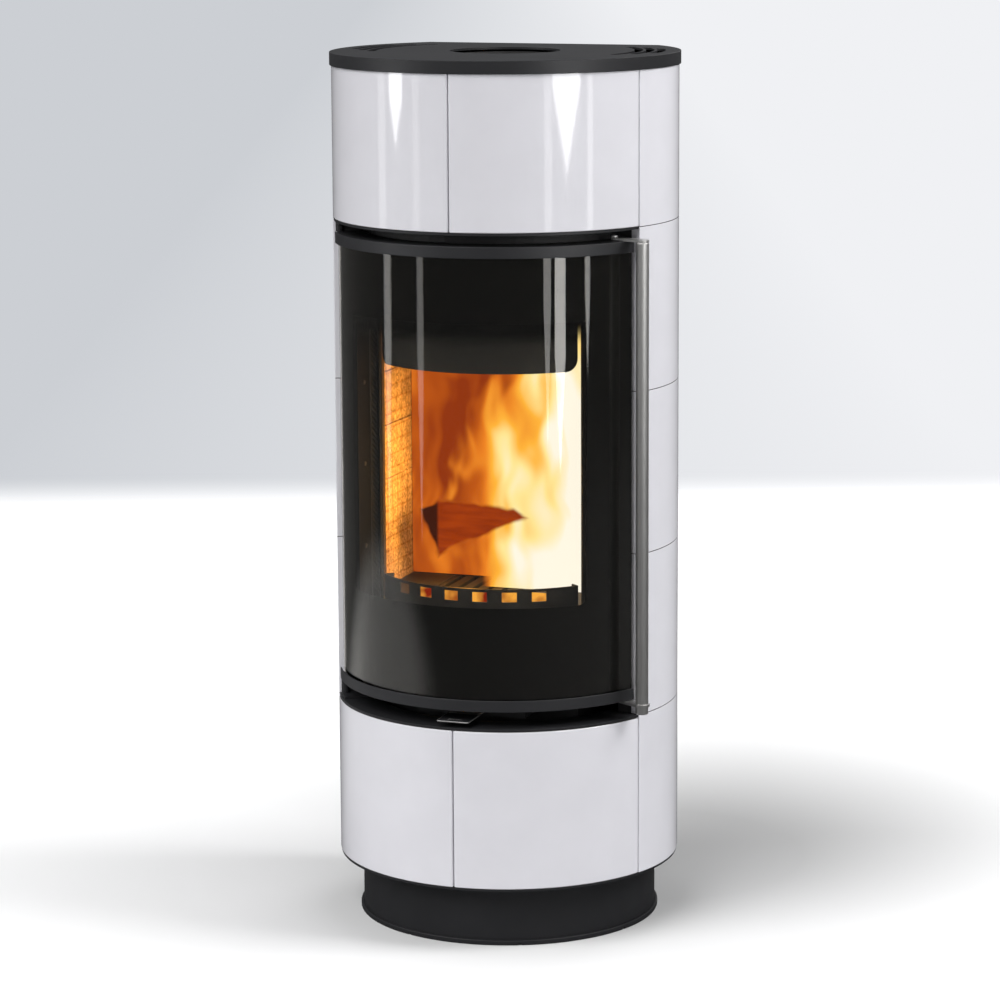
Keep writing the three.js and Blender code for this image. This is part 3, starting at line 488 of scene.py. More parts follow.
def heat_coat(tree):
    """Heat-proof silicone coat inside a stove: sooty, unevenly matt, browned where the fire licks it."""
    place = coordinates(tree)
    soot = noise(tree, place, 55 * MM, 5, 0.65)
    return surface(tree, Base_Color=mottled(tree, soot, colours().inner_coat, 0.6, 1.35, 0.3, 0.75),
                   Roughness=graded(tree, soot, (0.5, 0.75)), IOR=1.5,
                   Normal=bump(tree, noise(tree, place, 0.8 * MM, 2), 0.04 * MM, 0.6))


def brushed_steel(tree, stretch):
    """Stainless steel, brushed along its length: long fine scratches that draw the highlight into a band."""
    streaks = noise(tree, coordinates(tree, Scale=stretch), 0.7 * MM, 3, 0.6)
    smear = graded(tree, noise(tree, coordinates(tree), 40 * MM, 2), (0, 0.06))
    return surface(tree, Base_Color=mottled(tree, streaks, colours().steel, 0.84, 1),
                   Roughness=maths(tree, "ADD", graded(tree, streaks, (0.32, 0.44)), smear),
                   Normal=bump(tree, streaks, 0.01 * MM, 0.5), Metallic=1.0, Anisotropic=0.6)


def cast_iron(tree):
    """Sand-cast grey iron: a coarse dark skin with dull bright grains."""
    place = coordinates(tree)
    grain = noise(tree, place, 1.6 * MM, 4, 0.7)
    return surface(tree, Base_Color=mottled(tree, noise(tree, place, 30 * MM, 3), colours().iron, 0.7, 1.3),
                   Roughness=graded(tree, grain, (0.55, 0.8)), Metallic=0.3,
                   Normal=bump(tree, grain, 0.25 * MM, 0.7))


def vermiculite_board(tree):
    """Pressed vermiculite: crumbly beige board with mica flakes, scored in a grid and darkened by soot."""
    place = coordinates(tree)
    flakes = add_node(tree, "TexVoronoi", {"Vector": place, "Scale": 1 / (3.5 * MM)}).outputs
    board = mottled(tree, flakes["Color"], colours().vermiculite, 0.55, 1.35, 0.15, 0.9)
    soot = ramp(tree, noise(tree, place, 70 * MM, 5, 0.6), (0.42, 0.36, 0.32), WHITE, 0.25, 0.6)
    colour = darkened(tree, board, soot)
    normal = bump(tree, flakes["Distance"], 0.6 * MM, 0.7)
    for direction in ("Y", "Z"):
        score = stripes(tree, place, 20 * MM, 0.6, bands_direction=direction)
        normal = bump(tree, ramp(tree, score, BLACK, WHITE, 0.0, 0.1), 0.8 * MM, 0.5, normal)
        colour = darkened(tree, colour, ramp(tree, score, (0.8, 0.68, 0.58), WHITE, 0.0, 0.1))
    return surface(tree, Base_Color=colour, Normal=normal, Roughness=0.95, IOR=1.45)


def braided_rope(tree):
    """Braided glass-fibre rope: soft dark grey strands, slightly fuzzy."""
    place = coordinates(tree)
    strands = stripes(tree, place, 4 * MM, 1.5, bands_direction="DIAGONAL")
    fuzz = bump(tree, noise(tree, place, 0.8 * MM, 3), 0.2 * MM, 0.5)
    return surface(tree, Base_Color=mottled(tree, strands, colours().rope, 0.5, 1.4, 0.1, 0.9),
                   Roughness=0.95, Sheen_Weight=0.3, Normal=bump(tree, strands, 0.9 * MM, 0.8, fuzz))


def ceramic_glass(tree):
    """Clear ceramic glass with a faint amber cast: smooth, polished by the roller, with a slight wave."""
    wave = noise(tree, coordinates(tree, Scale=(1, 1, 0.3)), 60 * MM, 1)
    return surface(tree, Base_Color=mottled(tree, wave, colours().glass, 0.97, 1), Roughness=0.0, IOR=1.5,
                   Transmission_Weight=1.0, Normal=bump(tree, wave, 0.2 * MM, 0.25))


def black_enamel(tree):
    """Black enamel, screen printed and fired on the glass: dense, with pinholes too fine to count."""
    mottle = noise(tree, coordinates(tree), 2.5 * MM, 3)
    return surface(tree, Base_Color=mottled(tree, mottle, colours().enamel, 0.7, 1.3),
                   Roughness=graded(tree, mottle, (0.4, 0.55)), Specular_IOR_Level=0.05)


def fading_enamel(tree, bottom, top):
    """The same enamel as a screen of dots too fine to see, which thins out downwards over the firebox."""
    height = axes(tree, coordinates(tree))["Z"]
    return surface(tree, Base_Color=(*colours().enamel, 1), Roughness=0.5, Specular_IOR_Level=0.05,
                   Alpha=graded(tree, height, source=(bottom, top), smoothly=True))


FINISHES = {
    "tile_glaze": ("Glazed_white_ceramic", glazed_ceramic),
    "black_steel": ("Black_matt_powder_coat", powder_coat, "black_coat", 0.44, 0.22),
    "grey_steel": ("Dark_grey_powder_coat", powder_coat, "grey_coat", 0.42, 0.26),
    "inner_steel": ("Sooty_heatproof_coat", heat_coat),
    "stainless": ("Brushed_stainless_flat", brushed_steel, (1, 1, 0.03)),
    "cast_iron": ("Sand_cast_iron", cast_iron),
    "vermiculite": ("Pressed_vermiculite", vermiculite_board),
    "rope_seal": ("Braided_glass_fibre_rope", braided_rope),
    "ceramic_glass": ("Clear_ceramic_glass", ceramic_glass),
    "enamel": ("Black_fired_enamel", black_enamel),
}


def finish(slot):
    """The material of a finish of the record, or the enamel that it has no slot for."""
    return material(*FINISHES[slot])


# ---- Pieces ----
class StoveOperator(bpy.types.Operator):
    """Base of the operators that make pieces."""

    bl_options = {"REGISTER", "UNDO"}

    def execute(self, context):
        self.make()
        deselect()
        return {"FINISHED"}


class OBJECT_OT_stove_finishes(StoveOperator):
    """Give every solid of the frame the finish of its slot"""

    bl_idname = "object.stove_finishes"
    bl_label = "Finishes"

    def make(self):
        for part in frame["record"]["subparts"]:
            mesh = frame["nodes"][part["node"]].data
            mesh.materials.clear()
            mesh.materials.append(finish(part["material_slot"]))


class OBJECT_OT_stove_tiles(StoveOperator):
    """Model the glazed tiles with rounded edges: five rings at the sides, two at the front"""

    bl_idname = "object.stove_tiles"
    bl_label = "Glazed tiles"

    edge_steps = 4

    def make(self):
        s = sizes()
        half_joint = s.tile_joint / 2 / s.tile_radius
        for number in range(TILE_RINGS):
            node = "tile_side_%d" % (number + 1)
            self.pair(node, flat_back(self.tile(node, s.bay_angle + half_joint, math.pi), s.back_y))
        for node in ("tile_front_lower", "tile_front_upper"):
            self.pair(node, self.tile(node, half_joint, s.bay_angle - half_joint))

    @staticmethod
    def tile(node, start, end):
        s = sizes()
        right = node + "_right"
        return curved("glazed_" + right, s.tile_radius - s.tile_thickness, s.tile_radius,
                      *span(right), start, end)

    def pair(self, node, tile):
        """Rounds a right tile and adds its mirror image."""
        round_edges(tile, sizes().tile_edge, self.edge_steps)
        twin = smooth(mirrored(tile, "glazed_%s_left" % node))
        dress(tile, "tile_glaze", node + "_right")
        dress(twin, "tile_glaze", node + "_left")


class OBJECT_OT_stove_plinth(StoveOperator):
    """Model the plinth wall, the notched base lip and the plate that carries the lowest tiles"""

    bl_idname = "object.stove_plinth"
    bl_label = "Plinth"

    sheet = 2 * MM
    base_plate = 3 * MM
    gap = 0.5 * MM
    notch = 5 * MM
    notches = 6
    notch_pitch = math.radians(45)
    duct_radius = 38 * MM
    duct_y = 65 * MM
    carrier_hole = (150 * MM, 112.5 * MM)
    wall_edge, lip_edge, carrier_edge = 0.8 * MM, 1 * MM, 0.4 * MM

    def make(self):
        s = sizes()
        (bottom, top), back = span("plinth_wall"), high("plinth_wall", 1)
        wall = backed_disc("plinth_drum", s.plinth_radius, back, bottom, top)
        cut(wall, backed_disc("inside", s.plinth_radius - self.sheet, back - self.sheet,
                              bottom - self.sheet, top + self.sheet))
        round_edges(wall, self.wall_edge)
        dress(wall, "black_steel", "plinth_wall")

        top = high("base_plate")
        lip = backed_disc("base_lip", s.lip_radius, high("base_plate", 1), low("base_plate"), top)
        round_edges(lip, self.lip_edge)
        cut(lip, backed_disc("inside", s.plinth_radius + self.gap, back + self.gap, self.base_plate, 2 * top))
        cut(lip, rod("hole", self.duct_radius, Vector((0, self.duct_y)), -top, 2 * top))
        reach = Vector((self.notch / 2, self.sheet, top / 2))
        for angle in spaced(self.notches, self.notch_pitch):
            place = at(s.lip_radius, angle)
            cut(lip, block("notch", place - reach, place + reach, angle))
        dress(smooth(lip), "black_steel", "base_plate")

        node = "lower_tile_carrier"
        carrier = backed_disc("tile_ledge", high(node, 0), s.back_y, *span(node))
        cut(carrier, backed_disc("hole", *self.carrier_hole, 0, 1))
        round_edges(carrier, self.carrier_edge)
        dress(carrier, "black_steel", node)


class OBJECT_OT_stove_top(StoveOperator):
    """Model the top plate with its rolled rim, flue hole and nested grille slots, and the flue collar"""

    bl_idname = "object.stove_top"
    bl_label = "Top plate"

    slots = ((182 * MM, 30), (198 * MM, 22), (214 * MM, 14))
    slot_azimuth = math.radians(100)
    hole_radius = 77.8 * MM
    collar_inner = 75 * MM
    collar_outer = 77.3 * MM
    flange_radius = 93 * MM
    wall = 2 * MM
    plate = 3 * MM
    rim_steps = 4
    # Facets round the plate and its hole: enough for smooth outlines at the top
    plate_sides, hole_sides, slot_sides = 288, 128, 32
    slot_edge, collar_edge = 0.5 * MM, 0.6 * MM

    def make(self):
        s = sizes()
        top, back = high("top_plate"), high("top_plate", 1)
        lid = backed_disc("top_lid", s.top_radius, back, low("top_plate"), top, self.plate_sides)
        cut(lid, backed_disc("inside", s.top_radius - self.wall, back - self.wall, 0, top - self.plate,
                             self.plate_sides))
        round_edges(lid, s.rim_round, self.rim_steps)
        levels = (top - 3 * self.plate, top + self.plate)
        end = s.slot_width / 2
        for radius, half_span in self.slots:
            for name, side in SIDES:
                reach = math.radians(half_span) - end / (radius + end)
                ends = [side * self.slot_azimuth + turn * reach for turn in (-1, 1)]
                cut(lid, curved("slot", radius, radius + s.slot_width, *levels, *ends))
                cut(lid, *[rod("slot_end", end, at(radius + end, angle), *levels, self.slot_sides)
                           for angle in ends])
        cut(lid, rod("flue_hole", self.hole_radius, AXIS, *levels, self.hole_sides))
        round_edges(lid, self.slot_edge, 2, 60)
        dress(lid, "black_steel", "top_plate")

        bottom = low("flue_collar")
        collar = ring("collar_pipe", self.collar_inner, self.collar_outer, *span("flue_collar"))
        unite(collar, ring("flange", self.collar_inner + self.wall / 2, self.flange_radius, bottom,
                           bottom + self.plate))
        round_edges(collar, self.collar_edge, 2)
        dress(collar, "cast_iron", "flue_collar")


class OBJECT_OT_stove_carriers(StoveOperator):
    """Model the sill under the door and the upper tile carrier with its lintel and clips"""

    bl_idname = "object.stove_carriers"
    bl_label = "Tile carriers"

    inner = 192.5 * MM
    outer = 244 * MM
    plate = 3 * MM
    sheet = 2 * MM
    lintel = 203.5 * MM
    lintel_drop = 6 * MM
    clip_gap = 0.5 * MM
    clip = (8 * MM, 28 * MM)
    edge = 0.35 * MM

    def make(self):
        s = sizes()
        bay = (-s.bay_angle, s.bay_angle)
        back = s.tile_radius - s.tile_thickness - self.clip_gap
        for name, node in (("door_sill", "sill_plate"), ("door_lintel", "upper_tile_carrier")):
            over_door = name == "door_lintel"
            base = low(node) + self.lintel_drop if over_door else high(node) - self.plate
            middle = base + self.plate / 2
            piece = curved(name, self.inner, self.outer, base, base + self.plate, *bay)
            if over_door:
                unite(piece, curved("lip", self.lintel - self.plate, self.lintel, low(node), middle, *bay))
            levels = (middle, high(node)) if over_door else (low(node), middle)
            for _, side in SIDES:
                ends = sorted(side * end / back for end in self.clip)
                unite(piece, curved("clip", back - self.sheet, back, *levels, *ends))
            round_edges(piece, self.edge, 2)
            dress(piece, "black_steel", node)


class OBJECT_OT_stove_door(StoveOperator):
    """Model the door's two face bands, the clamps of the glass, and the liners beside its clear window"""

    bl_idname = "object.stove_door"
    bl_label = "Door"

    sheet = 2 * MM
    band_edge = 0.6 * MM
    clamp = (231.2 * MM, 234.15 * MM)
    clamp_ends = (math.radians(-61), math.radians(56))
    clamp_edge = 0.5 * MM
    # A liner runs from the print's edge behind the glass back to the edge of the frame's opening
    liner_front = (229.5 * MM, math.radians(46.4))
    liner_rear = (204.5 * MM, math.radians(52))
    liner_sheet = 1.5 * MM
    liner_edge = 0.3 * MM
    liner_z = (470 * MM, 901 * MM)
    screw_radius = 3.2 * MM
    screw_reach = 1.6 * MM
    screw_round = 1.2 * MM
    screw_levels = (782 * MM, 666 * MM, 548 * MM)

    def make(self):
        s = sizes()
        for name in ("upper", "lower"):
            node = "door_%s_band" % name
            band = curved("face_band_" + name, s.door_radius - self.sheet, s.door_radius, *span(node),
                          -s.door_angle, s.door_angle)
            round_edges(band, self.band_edge)
            dress(band, "grey_steel", node, body="door")
            node = "glass_clamp_" + name
            clamp = curved("glass_holder_" + name, *self.clamp, *span(node), *self.clamp_ends)
            round_edges(clamp, self.clamp_edge, 2)
            dress(clamp, "grey_steel", node, body="door")
        for name, side in SIDES:
            self.liner(name, side)

    def liner(self, name, side):
        """The flat sheet that closes the frame beside the clear window, and its three round-headed screws."""
        front, rear = [at(radius, side * angle) for radius, angle in (self.liner_front, self.liner_rear)]
        along = rear - front
        middle = (front + rear) / 2
        half = Vector((along.length / 2, self.liner_sheet / 2, 0))
        sheet = block("side_liner_" + name, middle - half + UP * self.liner_z[0],
                      middle + half + UP * self.liner_z[1], math.atan2(along.y, along.x))
        round_edges(sheet, self.liner_edge, 2)
        # The sheet wears the darker enamel instead of its black coat: painted shade, which keeps the fire
        # lamp from lighting it brown
        dress(sheet, "black_steel", body="door", look=finish("enamel"))
        inward = Vector((-along.y, along.x, 0)).normalized()
        if inward.x * side > 0:
            inward = -inward
        face = middle + inward * (self.liner_sheet + self.screw_reach) / 2
        heads = [cylinder("screw", self.screw_radius, face + UP * level, self.screw_reach, 32,
                          inward.to_track_quat("Z", "Y").to_euler()) for level in self.screw_levels]
        for head in heads:
            round_edges(head, self.screw_round, 4)
        dress(join("liner_screws_" + name, heads), "grey_steel", body="door")


class OBJECT_OT_stove_glass(StoveOperator):
    """Model the curved pane and the black print round its clear window"""

    bl_idname = "object.stove_glass"
    bl_label = "Glass"

    pane_edge = 0.6 * MM
    print_thickness = 0.2 * MM
    print_gap = 0.05 * MM
    corner = 14 * MM

    def make(self):
        s = sizes()
        levels = span("door_glass")
        door, clear = (-s.door_angle, s.door_angle), (-s.clear_angle, s.clear_angle)
        inner = s.glass_radius - s.glass_thickness
        pane = curved("curved_pane", inner, s.glass_radius, *levels, *door)
        round_edges(pane, self.pane_edge)
        dress(pane, "ceramic_glass", "door_glass", body="door")

        outer = inner - self.print_gap
        film = (outer - self.print_thickness, outer)
        border = curved("black_print", *film, *levels, *door)
        reach = (outer - 2 * self.corner, outer + 2 * self.corner)
        narrow = s.clear_angle - self.corner / outer
        shoulder = s.clear_bottom + self.corner
        cut(border, curved("window", *reach, s.clear_bottom, s.clear_top, -narrow, narrow))
        cut(border, curved("window", *reach, shoulder, s.clear_top, *clear))
        cut(border, *[spoke("corner", self.corner, *reach, side * narrow, shoulder) for name, side in SIDES])
        dress(smooth(border), "ceramic_glass", body="door", look=finish("enamel"))
        levels = (s.clear_top - s.fade_height, s.clear_top)
        fade = smooth(curved("fading_print", *film, *levels, *clear))
        dress(fade, "ceramic_glass", body="door",
              look=material("Black_fired_enamel_fading", fading_enamel, *levels))


class OBJECT_OT_stove_handle(StoveOperator):
    """Model the handle bar, its two arms and the pivot screw"""

    bl_idname = "object.stove_handle"
    bl_label = "Handle"

    bar_place = (268 * MM, math.radians(62.6))
    shaft_place = (217 * MM, math.radians(62))
    shaft_eye = 5 * MM
    hub = 11 * MM
    hub_gap = 0.3 * MM
    screw_radius = 4.6 * MM
    arm_thickness = 3.5 * MM
    socket_radius = 1.9 * MM
    bar_edge, arm_edge, screw_edge = 1.4 * MM, 0.5 * MM, 0.6 * MM
    bar_sides, eye_sides, socket_sides = 64, 40, 6

    def make(self):
        s = sizes()
        centre, shaft = at(*self.bar_place), at(*self.shaft_place)
        bar = rod("grip_bar", s.bar_radius, centre, *span("handle_bar"), self.bar_sides)
        round_edges(bar, self.bar_edge, 4)
        upright_grain = material("Brushed_stainless_bar", brushed_steel, (1, 1, 0.02))
        dress(bar, "stainless", "handle_bar", body="handle", look=upright_grain)
        flat_grain = material("Brushed_stainless_arm", brushed_steel, (0.04, 1, 1))
        for name, end in (("upper", s.bar_radius), ("lower", self.hub)):
            node = "handle_arm_" + name
            levels = (low(node), low(node) + self.arm_thickness)
            arm = join("grip_arm_" + name, (rod("grip", end, centre, *levels, self.bar_sides),
                                            rod("eye", self.shaft_eye, shaft, *levels, self.eye_sides)))
            reshape(arm, bpy.ops.mesh.convex_hull)
            if name == "lower":
                cut(arm, rod("hole", s.bar_radius + self.hub_gap, centre, 0, 1, self.bar_sides))
            round_edges(arm, self.arm_edge)
            dress(arm, "stainless", node, body="handle", look=flat_grain)
        seat, top = low("handle_arm_upper") + self.arm_thickness, high("handle_arm_upper")
        screw = rod("pivot_screw", self.screw_radius, shaft, seat, top, self.eye_sides)
        cut(screw, rod("socket", self.socket_radius, shaft, (seat + top) / 2, 2 * top - seat,
                       self.socket_sides))
        round_edges(screw, self.screw_edge, 2)
        dress(screw, "stainless", body="handle", look=flat_grain)


class OBJECT_OT_stove_air_tab(StoveOperator):
    """Model the pull tab of the air slide with its bright edge, dark face and wedge of bars"""

    bl_idname = "object.stove_air_tab"
    bl_label = "Air tab"

    face = 0.3 * MM
    border = 1.2 * MM
    corner = 3 * MM
    hole_radius = 10 * MM
    hole_y = -105 * MM
    face_end = -200 * MM
    bars = 6
    bar_pitch = 3.4 * MM
    bar_width = 2.6 * MM
    bar_length = (9 * MM, 1.5 * MM)
    bar_y = -233 * MM
    slide_edge, face_edge, bar_edge = 0.35 * MM, 0.06 * MM, 0.05 * MM

    def make(self):
        node = "air_lever"
        bottom, top = span(node)
        slide = self.plate("air_slide", 0, bottom, top - self.face)
        cut(slide, rod("hole", self.hole_radius, Vector((0, self.hole_y)), 0, 1))
        round_edges(slide, self.slide_edge)
        dress(slide, "stainless", node, body="air_lever")

        cover = self.plate("air_tab_face", self.border, top - self.face, top - self.face / 3)
        cut(cover, block("behind", (-1, self.face_end, 0), (1, 1, 1)))
        round_edges(cover, self.face_edge, 2)
        dress(cover, "black_steel", body="air_lever")

        longest, shortest = self.bar_length
        bars = []
        for number, x in enumerate(spaced(self.bars, self.bar_pitch)):
            share = number / (self.bars - 1)
            half = Vector((self.bar_width, longest * (1 - share) + shortest * share, 0)) / 2
            place = Vector((x, self.bar_y, top))
            bar = block("bar", place - half - UP * self.face / 2, place + half)
            bars.append(round_edges(bar, self.bar_edge, 2))
        dress(join("air_amount_bars", bars), "stainless", body="air_lever")

    def plate(self, name, inset, z0, z1):
        """The tab's outline with two rounded front corners, drawn in from its edge."""
        lower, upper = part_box("air_lever")
        front = lower[1] + inset
        piece = block(name, (lower[0] + inset, front, z0), (upper[0] - inset, upper[1], z1))
        for edge in edit(piece).edges:
            first, last = (vert.co for vert in edge.verts)
            upright = abs(first.z - last.z) > (z1 - z0) / 2
            edge.select_set(upright and abs((first.y + last.y) / 2 - front) < 0.1 * MM)
        bpy.ops.mesh.bevel(offset=self.corner - inset / 2, segments=6, profile=0.5)
        close_edit(piece)
        return heal(piece)


class OBJECT_OT_stove_inside(StoveOperator):
    """Model the log retainer and the deflector behind the glass"""

    bl_idname = "object.stove_inside"
    bl_label = "Firebox parts"

    inner = 185.7 * MM
    outer = 187.7 * MM
    half_angle = math.radians(50)
    fold = 12 * MM
    slots = 6
    slot_pitch = math.radians(12.8)
    slot_size = (21 * MM, 14 * MM)
    rail = 4 * MM
    corner = 18 * MM
    edge = 0.3 * MM

    def make(self):
        sheet = self.outer - self.inner
        wall = sheet / self.outer
        ends = (-self.half_angle, self.half_angle)
        reach = (self.inner - sheet, self.outer + sheet)

        node = "log_retainer"
        bottom, top = span(node)
        guard = curved("log_guard", self.inner, self.outer, bottom, top, *ends)
        for start in (-self.half_angle, self.half_angle - wall):
            unite(guard, curved("fold", self.inner - self.fold, self.outer, bottom, top, start, start + wall))
        wide, tall = self.slot_size
        half = wide / 2 / self.outer
        for middle in spaced(self.slots, self.slot_pitch):
            cut(guard, curved("hole", *reach, top - self.rail - tall, top - self.rail, middle - half,
                              middle + half))
        round_edges(guard, self.edge, 2)
        dress(guard, "inner_steel", node)

        node = "airwash_deflector"
        bottom = low(node)
        plate = curved("air_deflector", self.inner, self.outer, bottom, high(node), *ends)
        narrow = self.half_angle - self.corner / self.outer
        for name, side in SIDES:
            ends = sorted((side * narrow, side * (self.half_angle + wall)))
            waste = curved("waste", *reach, bottom - sheet, bottom + self.corner, *ends)
            cut(waste, spoke("corner", self.corner, reach[0] - sheet, reach[1] + sheet, side * narrow,
                             bottom + self.corner))
            cut(plate, waste)
        round_edges(plate, self.edge, 2)
        dress(plate, "inner_steel", node)


class OBJECT_OT_stove_stage(StoveOperator):
    """Set up what isn't part of the stove: camera, lights, floor, backdrop, fire and log"""

    bl_idname = "object.stove_stage"
    bl_label = "Stage"

    azimuth = math.radians(18.5966)
    distance = 5079.6 * MM
    height = 1536.2 * MM
    pitch = math.radians(9.8371)
    roll = math.radians(-0.2919)
    lens = 129.444
    sensor = 36
    shift = (-0.0072, -0.04)

    # Direction, elevation, softness, strength of the key light
    key = (-27, 47, 46, 2.3)
    # Direction, height, distance, width, height of the lamp, watts
    soft_boxes = (
        (96, 3.0, 3.0, 1.6, 2.0, 96),
        (165, 2.8, 3.4, 2.0, 2.0, 22),
    )
    soft_box_aim = Vector((0, 0, 0.6))
    # Direction, distance, width, lower tip, shoulder, top, strength
    strips = (
        (-54.6, 2.5, 0.46, 0.93, 1.02, 2.2, 9),
        (57.0, 2.5, 0.82, 0.88, 1.05, 2.2, 9),
        (-66.4, 2.6, 0.28, 0.10, 0.50, 2.2, 1.8),
        (-39.6, 2.6, 0.21, 0.10, 0.50, 2.2, 1.4),
        (45.0, 2.6, 0.22, 0.30, 0.60, 2.2, 2.4),
        (53.6, 2.6, 0.33, 0.25, 0.50, 0.72, 5.0),
        (73.0, 2.6, 0.16, 0.45, 0.62, 2.2, 3.2),
    )

    floor_size = 60
    # Along the view the floor turns into the wall; across it the wall goes from darker to lighter
    wall_start = (2.99, 3.59)
    wall_width = (-1.3, 1.3)
    wall_colours = ("#cccfd4", "#f0f1f4")
    # Places across and along the view, with the distances over which the floor changes and its two tones:
    # how bright the glass mirrors it, darker behind the stove, and how bright the camera sees it, which is
    # painted shadow round a point behind and right of the stove and brighter further off
    mirrored_patch, mirrored_reach, mirrored_tones = (-1.8, 0.1, 0), (0.8, 1.5), (0.7, 0.1)
    rear_reach, rear_tones = (0.15, 0.5), (0, 0.1)
    shaded_patch, shaded_reach, shaded_tones = (0.2, 0.25, 0), (0.25, 1.3), (0.62, 1.4)
    floor_colour = (0.7, 0.7, 0.71, 1)

    room_colour = (0.89, 0.9, 0.92, 1)
    # Strength of the room as a light and as the camera sees it. In mirrors it falls off behind the stove,
    # which the top plate shows at a flat angle.
    room_light, room_seen, room_mirrored = 0.2, 0.85, (0.75, 0.2)
    room_turn = (-0.2, 0.5)

    flame_depths = (-10 * MM, 60 * MM)
    flame_margins = (5 * MM, 1 * MM)
    flame_rise = 20 * MM
    flame_glow = 1.25
    # Where each sheet turns from clear to flame, in the same measure as the stops of its colours
    flame_edges = ((0.42, 0.6), (-0.1, 0.0))
    flame_stops = ((0.26, "#8f3408"), (0.4, "#bd5810"), (0.52, "#ee8622"), (0.64, "#ffb83e"),
                   (0.76, "#ffea9e"), (0.9, "#fffcf2"))
    ember_y = -120 * MM
    ember_size = (210 * MM, 20 * MM)
    ember_colours = ("#8a2205", "#ffb546")
    ember_glow = 1.1
    fire_place = (0.02, -0.05, 0.62)
    # Edges of the log in the flames: across and upward part of each edge's outward direction, distance
    log_edges = (
        (0.070, 1, 0.5888),
        (-0.533, 1, 0.6504),
        (0.625, 1, 0.5955),
        (0.488, -1, -0.5583),
        (-1, -0.403, -0.1019),
    )
    log_ragged = (-12 * MM, 9 * MM)
    # The log glows with the flames: its face is painted firelight, and its left end is painted shade
    log_face = ("#7a2502", "#ab4105")
    log_end = (-0.106, -0.1)
    log_end_shade_colour = "#3c1404"

    def make(self):
        self.camera()
        self.floor()
        self.key_light(*self.key)
        for box in self.soft_boxes:
            self.soft_box(*box)
        for strip in self.strips:
            self.strip(*strip)
        self.world()
        self.fire()

    def camera(self):
        a, p, r = self.azimuth, self.pitch, self.roll
        forward = Vector((-math.sin(a) * math.cos(p), math.cos(a) * math.cos(p), -math.sin(p)))
        right = Vector((math.cos(a), math.sin(a), 0))
        upward = right.cross(forward)
        axis_x = right * math.cos(r) + upward * math.sin(r)
        axis_y = upward * math.cos(r) - right * math.sin(r)
        deselect()
        place = at(self.distance, a, self.height)
        bpy.ops.object.camera_add(location=place)
        camera = bpy.context.active_object
        camera.name = "photo_camera"
        turn = Matrix((axis_x, axis_y, -forward)).transposed().to_4x4()
        camera.matrix_world = Matrix.Translation(place) @ turn
        camera.data.lens = self.lens
        camera.data.sensor_width = self.sensor
        camera.data.shift_x, camera.data.shift_y = self.shift
        bpy.context.scene.camera = camera
        bpy.context.scene.view_settings.view_transform = "Standard"

    def floor(self):
        deselect()
        bpy.ops.mesh.primitive_plane_add(size=self.floor_size)
        self.show(new_piece("studio_floor"), material("Seamless_white_floor", self.white_floor))

    def white_floor(self, tree):
        """One large floor. Far behind the stove the camera sees it as a pale wall with a soft lower line."""
        ray = add_node(tree, "LightPath").outputs
        place = coordinates(tree, Rotation=(0, 0, -self.azimuth))
        flat = axes(tree, place)

        def patch(centre, reach, tones, smoothly):
            away = vector_maths(tree, "DISTANCE", place, centre, result="Value")
            return graded(tree, away, tones, reach, smoothly)

        rear = graded(tree, axes(tree, coordinates(tree))["Y"], self.rear_tones, self.rear_reach, True)
        mirrored = maths(tree, "MAXIMUM", rear,
                         patch(self.mirrored_patch, self.mirrored_reach, self.mirrored_tones, True))
        plain = choice(tree, ray["Is Glossy Ray"], self.floor_colour, mirrored)
        # The camera sees the floor darker round a point behind and right of the stove: painted shadow that
        # deepens the stove's own shadow
        shaded = patch(self.shaded_patch, self.shaded_reach, self.shaded_tones, False)
        ground = add_node(tree, "BsdfDiffuse", {"Color": choice(tree, ray["Is Camera Ray"], plain, shaded)})
        wall = ramp(tree, graded(tree, flat["X"], source=self.wall_width), *map(linear, self.wall_colours),
                    0, 0.95)
        far = graded(tree, flat["Y"], source=self.wall_start, smoothly=True)
        return self.blend(tree, maths(tree, "MULTIPLY", far, ray["Is Camera Ray"]), ground.outputs["BSDF"],
                          emission(tree, 1.0, wall))

    @staticmethod
    def blend(tree, share, first, second):
        """Two shaders, mixed by the second one's share."""
        return add_node(tree, "MixShader", {0: share, 1: first, 2: second}).outputs["Shader"]

    @staticmethod
    def show(piece, look, **visible):
        """Gives a piece of the stage its look, and hides it from the kinds of ray that are named."""
        piece.data.materials.append(look)
        for key, value in visible.items():
            setattr(piece, "visible_" + key, value)

    @staticmethod
    def lamp(kind, name, place, turn, **settings):
        deselect()
        bpy.ops.object.light_add(type=kind, location=place, rotation=turn)
        lamp = bpy.context.active_object
        lamp.name = name
        for key, value in settings.items():
            setattr(lamp.data, key, value)
        return lamp

    def key_light(self, direction, elevation, softness, strength):
        """A high light from the front, which throws the stove's soft shadow back."""
        rise = math.radians(elevation)
        source = at(math.cos(rise), math.radians(direction), math.sin(rise))
        self.lamp("SUN", "key_light", 4 * source, source.to_track_quat("Z", "Y").to_euler(), energy=strength,
                  angle=math.radians(softness))

    def soft_box(self, direction, height, distance, width, tall, watts):
        place = at(distance, math.radians(direction), height)
        turn = (self.soft_box_aim - place).to_track_quat("-Z", "Y").to_euler()
        self.lamp("AREA", "soft_box", place, turn, shape="RECTANGLE", size=width, size_y=tall, energy=watts)

    def strip(self, direction, distance, width, tip, shoulder, top, strength):
        """A tall lit strip with a pointed lower end: the streak that the glaze and the glass mirror."""
        angle = math.radians(direction)
        panel = plane("light_strip", at(distance, angle, (shoulder + top) / 2), angle, width, top - shoulder)
        lowest = min(edit(panel).edges, key=lambda edge: edge.verts[0].co.z + edge.verts[1].co.z)
        lowest.select_set(True)
        bpy.ops.mesh.extrude_region_move(TRANSFORM_OT_translate={"value": (0, 0, tip - shoulder)})
        bpy.ops.mesh.merge(type="CENTER")
        close_edit(panel)
        self.show(panel, material("Lit_strip_%g" % strength, emission, strength), camera=False, diffuse=False,
                  shadow=False)

